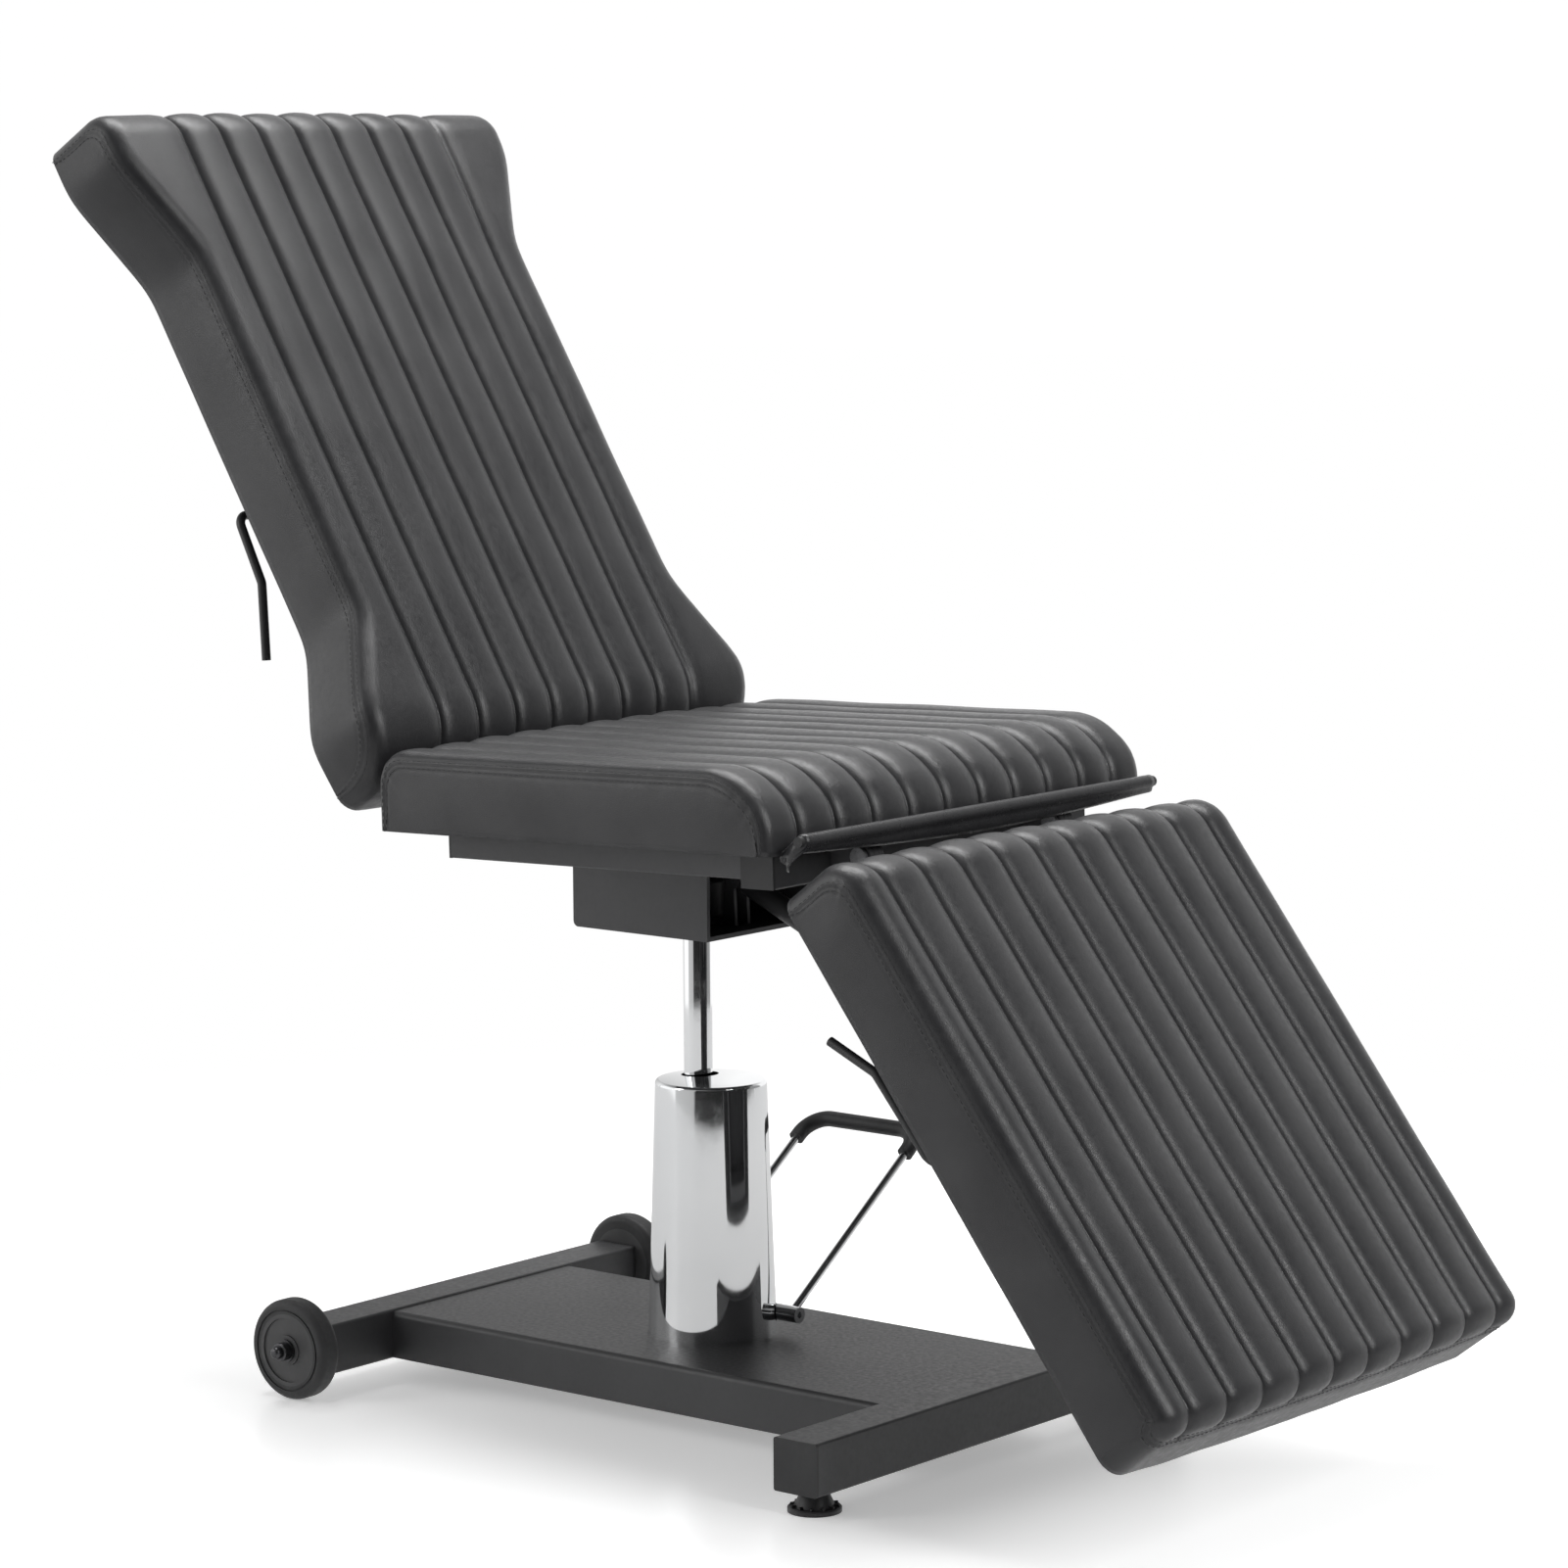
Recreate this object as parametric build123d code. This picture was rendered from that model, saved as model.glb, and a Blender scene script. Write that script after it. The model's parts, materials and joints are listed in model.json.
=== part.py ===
from build123d import *
from math import atan2, cos, degrees, hypot, pi, radians, sin
import os

# Facial treatment bed on a hydraulic column, in millimetres.
# Origin: on the floor, on the axis of the column's piston.
# +X points to the feet, +Y to the sitter's left (the far side), +Z up.
# "near" is the -Y side, where the two release levers are.

# ---------------------------------------------------------------- base
beam_size = 50.0            # square tube of the two cross beams
beam_wall = 3.0
tube_corner = 2.5           # outer rounding of every square tube
beam_clearance = 20.5       # floor to the underside of the beams
front_beam_x = 355.0        # centre line of the front cross beam
front_beam_length = 580.0
rear_beam_x = -315.0
rear_beam_length = 473.0
cap_thick = 3.0             # closing plate on a tube end
tray_width = 270.0
tray_sheet = 3.0
tray_step = 2.0             # the tray's top lies this far below the beams
tray_bend = 6.0

foot_pad_radius = 25.0
foot_cone_radius = 12.3
foot_disc_height = 5.0
foot_stem_radius = 5.0
foot_stem_length = 46.0
foot_inset = 28.0           # beam end to the levelling foot's axis
foot_nut_height = 12.0
foot_nut_width = 20.0
foot_gap = 0.6              # pad's cone to the beam

wheel_radius = 50.0
wheel_width = 25.0
wheel_rim_radius = 36.0     # tyre's seat on the hub
wheel_x = -311.0
wheel_gap = 2.0             # beam's cap to the wheel
wheel_shoulder = 7.0
hub_recess = 1.6
axle_radius = 6.0
axle_head_radius = 11.0
axle_nut_height = 9.0       # collar of the cap nut on each wheel
axle_cap_height = 8.0       # its dome
axle_tail = 22.0            # length of bolt inside the beam

# ---------------------------------------------------------------- pump
cover_offset = 16.0         # the cover's axis lies ahead of the piston's
cover_bottom_radius = 63.3
cover_top_radius = 54.8
cover_height = 252.0
cover_dome = 3.5
cover_rim = 4.0
cover_wall = 1.5
cover_hole_radius = 18.5
pump_flange_radius = 56.0
pump_flange_height = 50.0
pump_tube_radius = 34.0
pump_tube_top = 228.0       # above the tray
pump_floor = 10.0           # solid floor of the pump's bore
piston_radius = 14.0
piston_length = 318.0
piston_neck_radius = 12.0
piston_neck_height = 13.0   # chamfer and neck under the seat carrier
piston_stud = 34.0          # length of stud inside the carrier
fit = 0.05                  # radial clearance of turning and sliding pairs

pedal_y = 36.0              # pivot of the pump pedal
pedal_rise = 20.0           # pivot above the tray
pedal_spread = 140.0        # between the fork's two rods
pedal_reach = 256.0
pedal_angle = 35.5
pedal_rod_radius = 4.0
pedal_shaft_radius = 6.0
pedal_boss_radius = 8.2
pedal_boss_length = 27.0
pedal_bend = 26.0
pedal_sleeve_radius = 8.0
pedal_sleeve_leg = 32.0     # sleeve's length down each rod from the corner

# ---------------------------------------------------------------- seat
carrier_bottom = 472.0
carrier_sheet = 4.5
carrier_rear = -86.0
carrier_front = 84.0
carrier_width = 170.0
carrier_bend = 6.0
hub_radius = 28.0
hub_rim = 10.0              # the hub's flange stands out this far
seat_base = 588.0           # underside of the seat board above the column
seat_tilt = 1.7             # the seat rises this much towards the feet
rail_height = 30.0
rail_width = 30.0
rail_wall = 2.5
rail_rear = -106.0
frame_width = 480.0         # over the two side rails
front_tube_size = 38.0
front_tube_front = 292.0    # front face of the front cross tube
rear_tube_width = 30.0
bearer_width = 30.0
board_thick = 12.0
board_inset = 4.0           # board's edge inside the upholstery's
cushion_width = 580.0
seat_rear = -155.0
seat_front = 330.0
seat_height = 76.0          # board's underside to the cushion's top
seat_edge = 18.0            # rounding of the seat's upper edges

# ---------------------------------------------------------------- hinges
hinge_pin_radius = 6.0
hinge_plate = 6.0
hinge_eye = 12.0
hinge_side_gap = 0.5
hinge_head = 4.0
ear_overlap = 30.0          # weld length of an ear along the frame tube

# ---------------------------------------------------------------- backrest
back_angle = 58.5           # above the horizontal
back_hinge_x = -180.0
back_hinge_z = 590.0
back_start = 15.0           # hinge to the cushion's lower end
back_length = 745.0
back_rear = -20.0           # board's rear face, measured from the hinge
back_thick = 87.0           # board and cushion together
back_head_width = 566.0
back_waist_width = 466.0
back_hip_width = 564.0
back_hip_s = 90.0
back_waist_low = 190.0
back_waist_high = 592.0
back_head_low = 698.0
back_roll = 73.0            # large rounding at the lower front edge
frame_tube = 25.0
frame_wall = 2.0
frame_y = 162.5             # centre line of the frame's long tubes
hinge_y = frame_y - frame_tube / 2 - hinge_plate / 2
back_frame_end = 600.0
back_cross_s = 345.0
strap_thick = 5.0
strap_width = 30.0
back_strap_s = 110.0        # hinge to the flat strap behind the board
leg_strap_s = 60.0

# ---------------------------------------------------------------- leg rest
leg_angle = 52.5            # below the horizontal
leg_hinge_x = 327.0
leg_hinge_z = 583.0
leg_start = 23.0
leg_length = 598.0
leg_rear = -1.0
leg_thick = 87.0
leg_corner = 28.0
leg_frame_end = 560.0
leg_cross_s = 290.0

# ---------------------------------------------------------------- gas springs
spring_radius = 11.0
spring_rod_radius = 5.0
spring_eye_radius = 8.0
spring_eye_width = 14.0
spring_pin_radius = 4.0
spring_floor = 14.0         # solid end of the cylinder
back_pin_slack = 7.2        # play of each rod's pin in its bracket
leg_pin_slack = 10.0
cheek_thick = 4.0
cheek_gap = 3.0             # eye to cheek
cheek_margin = 4.0          # metal left around a bracket's holes
spring_neck = 4.0           # pivot's eye to the cylinder
back_spring_y = 40.0        # the back's spring stands this far to the far side
back_spring_foot_x = -150.0
back_spring_foot_z = 500.0
back_spring_s = 330.0
back_spring_o = -60.0
back_spring_body = 275.0    # cylinder's length
back_rod_inside = 40.0      # rod inside the cylinder, back upright
leg_spring_foot_x = 54.0
leg_spring_foot_z = 522.0
leg_spring_s = 262.0
leg_spring_o = -50.0
leg_spring_body = 300.0
leg_rod_inside = 190.0      # rod inside the cylinder, leg rest lowered

# ---------------------------------------------------------------- levers
lever_radius = 4.5
lever_bend = 12.0
lever_collar = 9.0          # half width of the lever's guide plate
cam_reach = 8.5             # cam on the lever, from its axis
cam_half = 4.0
back_lever_s = 355.0
back_lever_o = -50.5
back_lever_y = 213.0
leg_lever_s = 288.0
leg_lever_o = -43.0
leg_lever_y = 235.0
lever_guide = 5.0
back_grip = [(283.0, -57.0), (216.0, -93.0)]    # bends of the grip: along and out
leg_grip = [(190.0, -47.0), (140.0, -74.0)]

# ---------------------------------------------------------------- gap cover
gap_rod_x = 349.0
gap_rod_z = 611.0
gap_rod_radius = 5.0
gap_rod_wall = 1.0
gap_rod_length = 548.0
plug_length = 8.0
flap_thick = 1.6
flap_seam_x = 326.1         # flap's fixed edge, on the front of the seat board
flap_seam_z = 599.0
flap_drop = 24.0            # how far the flap hangs below the rod's centre
flap_lean = 10.0            # its lower edge lies this far back from the rod
flap_inset = 6.0            # flap's end inside the rod's end


# ================================================================ helpers
def block(x0, x1, y0, y1, z0, z1):
    """A box between two corners."""
    return Pos((x0 + x1) / 2, (y0 + y1) / 2, (z0 + z1) / 2) * Box(x1 - x0, y1 - y0, z1 - z0)


def rod(start, end, radius):
    """A round bar from one point to another."""
    start, end = Vector(*start), Vector(*end)
    plane = Plane(origin=start, z_dir=end - start)
    return extrude(plane * Circle(radius), (end - start).length)


def along_y(x, z, y0, y1, radius):
    return rod((x, y0, z), (x, y1, z), radius)


def tube(x0, x1, y0, y1, z0, z1, wall, axis):
    """A rectangular tube, open at both ends along its axis."""
    inset = [wall, wall, wall]
    inset["XYZ".index(axis)] = -1.0
    dx, dy, dz = inset
    outside = block(x0, x1, y0, y1, z0, z1)
    outside = fillet(outside.edges().filter_by(getattr(Axis, axis)), tube_corner)
    return outside - block(x0 + dx, x1 - dx, y0 + dy, y1 - dy, z0 + dz, z1 - dz)


def bent_bar(points, bend, radius):
    """A round bar along straight runs with bends of one radius."""
    path = FilletPolyline(*points, radius=bend)
    start = Plane(origin=path @ 0, z_dir=path % 0)
    return sweep(start * Circle(radius), path=path)


def side_profile(points, y0, y1):
    """A plate or prism between y0 and y1, its outline given in X and Z."""
    outline = Plane.XZ * make_face(Polyline(*points, close=True))
    return Pos(0, y1, 0) * extrude(outline, y1 - y0)


def mirrored(shape):
    return [shape, mirror(shape, about=Plane.XZ)]


def save(name, *pieces):
    """Write one sub-part, made of one or more separate solids."""
    solids = [solid for piece in pieces for solid in piece.solids()]
    shape = solids[0] if len(solids) == 1 else Compound(solids)
    export_step(shape, os.path.join("parts", name + ".step"))


os.makedirs("parts", exist_ok=True)

beam_top = beam_clearance + beam_size
beam_mid = beam_clearance + beam_size / 2
tray_top = beam_top - tray_step
half_beam = beam_size / 2
front_half = front_beam_length / 2
rear_half = rear_beam_length / 2

seat_place = Location((0, 0, seat_base), (0, -seat_tilt, 0))
back_place = Location((back_hinge_x, 0, back_hinge_z), (0, back_angle, 0))
leg_place = Location((leg_hinge_x, 0, leg_hinge_z), (0, leg_angle, 0))


def in_seat(x, z):
    """A point of the side view, as seen in the tilted seat's own frame."""
    a = radians(seat_tilt)
    return x * cos(a) + (z - seat_base) * sin(a), (z - seat_base) * cos(a) - x * sin(a)


# ================================================================ base frame
def front_beam():
    reach = front_half - cap_thick
    x0, x1 = front_beam_x - half_beam, front_beam_x + half_beam
    beam = tube(x0, x1, -reach, reach, beam_clearance, beam_top, beam_wall, "Y")
    foot_y = front_half - foot_inset
    hole = rod((front_beam_x, foot_y, 0), (front_beam_x, foot_y, beam_mid), foot_stem_radius + 0.6)
    for cut in mirrored(hole):
        beam -= cut
    return beam


def rear_beam():
    reach = rear_half - cap_thick
    x0, x1 = rear_beam_x - half_beam, rear_beam_x + half_beam
    return tube(x0, x1, -reach, reach, beam_clearance, beam_top, beam_wall, "Y")


def end_caps(x, half, bore=None):
    """Two closing plates of a beam, the wheel's bolt passing through if bored."""
    cap = block(x - half_beam, x + half_beam, half - cap_thick, half, beam_clearance, beam_top)
    cap = fillet(cap.edges().filter_by(Axis.Y), tube_corner)
    if bore:
        cap -= along_y(wheel_x, wheel_radius, half - 2 * cap_thick, half + cap_thick, bore)
    return mirrored(cap)


def base_tray():
    """A folded sheet between the beams: a flat top with two turned-down sides."""
    x0, x1 = rear_beam_x + half_beam, front_beam_x - half_beam
    half, bottom = tray_width / 2, beam_clearance + 1.0
    outer = block(x0, x1, -half, half, bottom, tray_top)
    outer = fillet(outer.edges().filter_by(Axis.X).group_by(Axis.Z)[-1], tray_bend)
    t = tray_sheet
    inner = block(x0, x1, -half + t, half - t, bottom - t, tray_top - t)
    inner = fillet(inner.edges().filter_by(Axis.X).group_by(Axis.Z)[-1], tray_bend - t)
    tray = outer - inner
    for angle in range(45, 360, 90):
        bolt = Pos(cover_offset, 0, tray_top) * Rot(0, 0, angle) * Pos(pump_flange_radius - 10, 0, 0)
        tray -= bolt * Cylinder(4.0, 4 * t)
    return tray


def pump_bolts():
    bolts = []
    for angle in range(45, 360, 90):
        seat = Pos(cover_offset, 0, tray_top) * Rot(0, 0, angle) * Pos(pump_flange_radius - 10, 0, 0)
        shank = extrude(Circle(4.0), tray_sheet + 8.0)
        head = extrude(RegularPolygon(6.5, 6), -5.0)
        bolts.append(seat * Pos(0, 0, -tray_sheet) * (shank + head))
    return bolts


# ================================================================ wheels
def wheel_faces():
    inner = rear_half + wheel_gap
    return inner, inner + wheel_width


def wheel_tyre():
    """Solid tyre with rounded shoulders and a shallow ring on each side."""
    y0, y1 = wheel_faces()
    tyre = along_y(wheel_x, wheel_radius, y0, y1, wheel_radius)
    tyre = fillet(tyre.edges(), wheel_shoulder)
    groove = along_y(wheel_x, wheel_radius, y1 - 1.2, y1 + 1, wheel_radius - 9)
    groove -= along_y(wheel_x, wheel_radius, y1 - 2, y1 + 2, wheel_radius - 11)
    return tyre - groove - along_y(wheel_x, wheel_radius, y0 - 1, y1 + 1, wheel_rim_radius)


def wheel_hub():
    y0, y1 = wheel_faces()
    hub = along_y(wheel_x, wheel_radius, y0, y1, wheel_rim_radius)
    hub -= along_y(wheel_x, wheel_radius, y1 - hub_recess, y1 + 1, wheel_rim_radius - 4)
    hub += along_y(wheel_x, wheel_radius, y1 - hub_recess - 0.5, y1, axle_head_radius + 4)
    return hub - along_y(wheel_x, wheel_radius, y0 - 1, y1 + 1, axle_radius + fit)


def axle_bolt():
    """Bolt through the wheel: a domed cap nut outside, a nut inside the beam."""
    y0, y1 = wheel_faces()
    tail = rear_half - axle_tail
    washer_start, collar_start = y1 + 0.3, y1 + 2.3
    cap_start = collar_start + axle_nut_height
    bolt = along_y(wheel_x, wheel_radius, tail, washer_start, axle_radius)
    washer = along_y(wheel_x, wheel_radius, washer_start, collar_start, axle_head_radius)
    collar = along_y(wheel_x, wheel_radius, collar_start, cap_start, axle_head_radius - 2)
    collar = fillet(collar.edges().group_by(Axis.Y)[-1], 1.5)
    dome = along_y(wheel_x, wheel_radius, cap_start - 1, cap_start + axle_cap_height, axle_head_radius - 5)
    head = collar + fillet(dome.edges().group_by(Axis.Y)[-1], 4.5)
    nut = along_y(wheel_x, wheel_radius, rear_half - cap_thick - 8, rear_half - cap_thick, 10.0)
    spacer = along_y(wheel_x, wheel_radius, rear_half, y0 - 0.3, 9.0)
    return bolt + washer + head + nut + spacer


# ================================================================ levelling feet
def foot_pad():
    """Plastic pad: a ribbed disc that rises in a cone to the beam."""
    y = front_half - foot_inset
    top = beam_clearance - foot_gap
    disc = extrude(Circle(foot_pad_radius), foot_disc_height)
    disc = chamfer(disc.edges().group_by(Axis.Z)[-1], 1.2)
    cone_height = top - foot_disc_height
    cone = Cone(foot_pad_radius - 6, foot_cone_radius, cone_height)
    cone = Pos(0, 0, foot_disc_height + cone_height / 2) * cone
    pad = disc + cone
    for turn in range(0, 360, 30):
        z0, z1 = foot_disc_height - 1, foot_disc_height + 2.2
        rib = block(foot_cone_radius, foot_pad_radius - 2.5, -0.9, 0.9, z0, z1)
        pad += Rot(0, 0, turn) * rib
    pad -= Pos(0, 0, top) * Cylinder(foot_stem_radius, 2 * (top - foot_disc_height + 2))
    return Pos(front_beam_x, y, 0) * pad


def foot_stem():
    y = front_half - foot_inset
    z0 = foot_disc_height - 2
    return rod((front_beam_x, y, z0), (front_beam_x, y, z0 + foot_stem_length), foot_stem_radius)


def foot_nut():
    """Threaded block on the floor of the front beam."""
    y, z0 = front_half - foot_inset, beam_clearance + beam_wall
    w = foot_nut_width / 2
    nut = block(front_beam_x - w, front_beam_x + w, y - w, y + w, z0, z0 + foot_nut_height)
    return nut - rod((front_beam_x, y, 0), (front_beam_x, y, beam_top), foot_stem_radius + fit)


# ================================================================ pump and pedal
pedal_z = tray_top + pedal_rise


def shaft_hole(radius, x0, x1):
    return rod((x0, pedal_y, pedal_z), (x1, pedal_y, pedal_z), radius)


def pump_body():
    flange = Pos(cover_offset, 0, tray_top) * extrude(Circle(pump_flange_radius), pump_flange_height)
    barrel = Pos(0, 0, tray_top) * extrude(Circle(pump_tube_radius), pump_tube_top)
    gland = Pos(0, 0, tray_top + pump_tube_top) * extrude(Circle(piston_radius + 3.2), 8.0)
    pump = flange + barrel + gland
    bore = Pos(0, 0, tray_top + pump_floor) * extrude(Circle(piston_radius + fit), pump_tube_top + 20)
    pump -= bore
    pump -= shaft_hole(pedal_shaft_radius + fit, -200, 200)
    reach = pump_flange_radius + 1
    inner = cover_offset + (pedal_boss_space() - pedal_boss_length - 1)
    side = shaft_hole(pedal_boss_radius + 1.3, inner, cover_offset + reach)
    for cut in (side, mirror(side, about=Plane.YZ.offset(cover_offset))):
        pump -= cut
    for angle in range(45, 360, 90):
        seat = Pos(cover_offset, 0, tray_top) * Rot(0, 0, angle) * Pos(pump_flange_radius - 10, 0, 0)
        pump -= seat * Cylinder(4.0, 16.0)
    return pump


def pump_cover():
    """Chromed cone with a rounded rim, a low dome and an oversize hole."""
    def shell(inset):
        r0, r1 = cover_bottom_radius - inset, cover_top_radius - inset
        h = cover_height - inset
        rim = cover_rim - inset * 0.6
        side = Line((r0, 0), (r1, h - rim))
        corner = TangentArc(side @ 1, (r1 - rim, h), tangent=side % 1)
        dome = ThreePointArc(corner @ 1, ((r1 - rim) / 2, h + cover_dome * 0.75), (0, h + cover_dome))
        axis = Line(dome @ 1, (0, 0))
        base = Line((0, 0), (r0, 0))
        profile = make_face([side, corner, dome, axis, base])
        return revolve(Plane.XZ * profile, axis=Axis.Z)
    cover = shell(0) - shell(cover_wall)
    cover = Pos(cover_offset, 0, tray_top) * cover
    hole = Pos(2.0, 0, tray_top + cover_height - 10) * extrude(Circle(cover_hole_radius), 40)
    return cover - hole - shaft_hole(pedal_boss_radius + 1.3, -200, 200)


def piston():
    """Chromed ram with a chamfered neck and a stud for the swivel."""
    top = carrier_bottom - piston_neck_height
    ram = Pos(0, 0, top - piston_length) * extrude(Circle(piston_radius), piston_length)
    neck_drop = piston_radius - piston_neck_radius
    cone = Pos(0, 0, top + neck_drop) * Cone(piston_radius, piston_neck_radius, 2 * neck_drop)
    stud = Pos(0, 0, top) * extrude(Circle(piston_neck_radius), piston_neck_height + piston_stud)
    return ram + cone + stud


def pedal_boss_space():
    """Half the distance over the two bosses."""
    return pedal_spread / 2 + 11.0


def pedal_point(reach, x):
    a = radians(pedal_angle)
    return (x, pedal_y + reach * cos(a), pedal_z + reach * sin(a))


def pedal_rods():
    x0, x1 = cover_offset - pedal_spread / 2, cover_offset + pedal_spread / 2
    route = [
        pedal_point(pedal_shaft_radius, x1),
        pedal_point(pedal_reach, x1),
        pedal_point(pedal_reach, x0),
        pedal_point(pedal_shaft_radius, x0),
    ]
    return bent_bar(route, pedal_bend, pedal_rod_radius)


def pedal_sleeve():
    x0, x1 = cover_offset - pedal_spread / 2, cover_offset + pedal_spread / 2
    start = pedal_reach - pedal_sleeve_leg
    corners = [pedal_point(start, x1), pedal_point(pedal_reach, x1)]
    corners += [pedal_point(pedal_reach, x0), pedal_point(start, x0)]
    sleeve = bent_bar(corners, pedal_bend, pedal_sleeve_radius)
    return sleeve - bent_bar(corners, pedal_bend, pedal_rod_radius)


def pedal_shaft():
    reach = pedal_boss_space() - 4
    return shaft_hole(pedal_shaft_radius, cover_offset - reach, cover_offset + reach)


def pedal_bosses():
    """Two sleeves on the shaft's ends, each bored for a rod of the fork."""
    outer = pedal_boss_space()
    x0, x1 = cover_offset + outer - pedal_boss_length, cover_offset + outer
    boss = shaft_hole(pedal_boss_radius, x0, x1) - shaft_hole(pedal_shaft_radius, x0 - 1, x1 - 4)
    x = cover_offset + pedal_spread / 2
    boss -= rod(pedal_point(0, x), pedal_point(20, x), pedal_rod_radius)
    socket = Plane(origin=(x1, pedal_y, pedal_z), z_dir=(1, 0, 0)) * RegularPolygon(3.4, 6)
    boss -= extrude(socket, -3.0)
    screws = []
    for place in (x0 + 5.0, x0 + 14.5):
        a = radians(-62)
        start = (place, pedal_y + pedal_shaft_radius * cos(a), pedal_z + pedal_shaft_radius * sin(a))
        end = (place, pedal_y + (pedal_boss_radius + 1.2) * cos(a), pedal_z + (pedal_boss_radius + 1.2) * sin(a))
        screw = rod(start, end, 2.0)
        boss -= screw
        screws.append(screw)
    other = Plane.YZ.offset(cover_offset)
    bosses = [boss, mirror(boss, about=other)]
    all_screws = screws + [mirror(s, about=other) for s in screws]
    return bosses, all_screws


# ================================================================ seat
frame_half = frame_width / 2
bearer_spots = (carrier_rear + 8.0, carrier_front - 8.0 - bearer_width)


def seat_carrier():
    """Folded trough on the piston: floor, two side walls and a rear wall."""
    half, t = carrier_width / 2, carrier_sheet
    high = seat_base + 20
    outer = block(carrier_rear, carrier_front, -half, half, carrier_bottom, high)
    rear_edge = outer.edges().filter_by(Axis.Y).sort_by(Axis.Z)[:2].sort_by(Axis.X)[0]
    outer = fillet(rear_edge, carrier_bend)
    inner = block(carrier_rear + t, carrier_front + t, -half + t, half - t, carrier_bottom + t, high + t)
    carrier = outer - inner
    above = seat_place * block(-300, 300, -half - 10, half + 10, -rail_height, 200)
    carrier -= above
    return carrier - Pos(0, 0, carrier_bottom) * Cylinder(piston_neck_radius + 0.4, 4 * t)


def swivel_hub():
    base = carrier_bottom + carrier_sheet
    plate = Pos(0, 0, base) * extrude(Circle(hub_radius + hub_rim), 6.0)
    hub = plate + Pos(0, 0, base) * extrude(Circle(hub_radius), piston_stud + 6.0)
    hub = chamfer(hub.edges().group_by(Axis.Z)[-1], 2.0)
    depth = piston_stud - carrier_sheet + 0.4
    return hub - Pos(0, 0, base) * extrude(Circle(piston_neck_radius + fit), depth)


def seat_rails():
    x1 = front_tube_front - front_tube_size
    y0, y1 = frame_half - rail_width, frame_half
    rail = tube(rail_rear + cap_thick, x1, y0, y1, -rail_height, 0, rail_wall, "X")
    return mirrored(seat_place * rail)


def front_cross_tube():
    reach = frame_half - cap_thick
    x0, x1 = front_tube_front - front_tube_size, front_tube_front
    return seat_place * tube(x0, x1, -reach, reach, -front_tube_size, 0, rail_wall, "Y")


def rear_cross_tube():
    reach = frame_half - rail_width
    x1 = rail_rear + rear_tube_width
    return seat_place * tube(rail_rear, x1, -reach, reach, -rail_height, 0, rail_wall, "Y")


def seat_bearers():
    """Two bars over the carrier; the rear one is spaced clear of the rear cross tube."""
    reach = frame_half - rail_width
    bars = []
    for x0 in bearer_spots:
        x0 = max(x0, rail_rear + rear_tube_width + 6.0)
        bars.append(seat_place * tube(x0, x0 + bearer_width, -reach, reach, -rail_height, 0, rail_wall, "Y"))
    return bars


def seat_frame_caps():
    y0, y1 = frame_half - rail_width, frame_half
    rail_cap = block(rail_rear, rail_rear + cap_thick, y0, y1, -rail_height, 0)
    x0, x1 = front_tube_front - front_tube_size, front_tube_front
    tube_cap = block(x0, x1, frame_half - cap_thick, frame_half, -front_tube_size, 0)
    return mirrored(seat_place * rail_cap) + mirrored(seat_place * tube_cap)


def seat_board():
    reach = cushion_width / 2 - board_inset
    x0, x1 = seat_rear + board_inset, seat_front - board_inset
    return seat_place * block(x0, x1, -reach, reach, 0, board_thick)


def seat_cushion():
    half = cushion_width / 2
    pad = block(seat_rear, seat_front, -half, half, board_thick, seat_height)
    pad = fillet(pad.edges().filter_by(Axis.Z), seat_edge + 6)
    pad = fillet(pad.edges().group_by(Axis.Z)[-1], seat_edge)
    return seat_place * pad


# ================================================================ hinges
def clevis(points, place):
    """Two cheeks of one hinge on the seat frame, for both sides."""
    gap = hinge_plate / 2 + hinge_side_gap
    plates = []
    for y0 in (hinge_y - gap - hinge_plate, hinge_y + gap):
        plate = side_profile(points, y0, y0 + hinge_plate)
        eye_x, eye_z = place
        plate += along_y(eye_x, eye_z, y0, y0 + hinge_plate, hinge_eye)
        plate -= along_y(eye_x, eye_z, y0 - 1, y0 + hinge_plate + 1, hinge_pin_radius)
        plates += mirrored(seat_place * plate)
    return plates


back_hinge_u, back_hinge_w = in_seat(back_hinge_x, back_hinge_z)
leg_hinge_u, leg_hinge_w = in_seat(leg_hinge_x, leg_hinge_z)


def back_hinge_cheeks():
    u, w = back_hinge_u, back_hinge_w
    outline = [
        (rail_rear, -rail_height + 2),
        (rail_rear, -2.0),
        (seat_rear, -2.0),
        (u + hinge_eye, w),
        (u - hinge_eye * 0.6, w - hinge_eye * 0.8),
        (u + hinge_eye * 1.2, -rail_height + 2),
    ]
    return clevis(outline, (u, w))


def leg_hinge_cheeks():
    u, w = leg_hinge_u, leg_hinge_w
    outline = [
        (front_tube_front, -front_tube_size + 4),
        (front_tube_front, -4.0),
        (u, w + hinge_eye * 0.95),
        (u + hinge_eye * 0.3, w - hinge_eye * 0.9),
    ]
    return clevis(outline, (u, w))


def hinge_pins():
    """Four pins with a head on each end, pressed into the cheeks."""
    gap = hinge_plate / 2 + hinge_side_gap
    y0, y1 = hinge_y - gap - hinge_plate, hinge_y + gap + hinge_plate
    pins = []
    for x, z in ((back_hinge_x, back_hinge_z), (leg_hinge_x, leg_hinge_z)):
        pin = along_y(x, z, y0 - hinge_head, y1 + hinge_head, hinge_pin_radius)
        for start in (y0 - hinge_head, y1):
            pin += along_y(x, z, start, start + hinge_head, hinge_pin_radius + 3)
        pins += mirrored(pin)
    return pins


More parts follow.
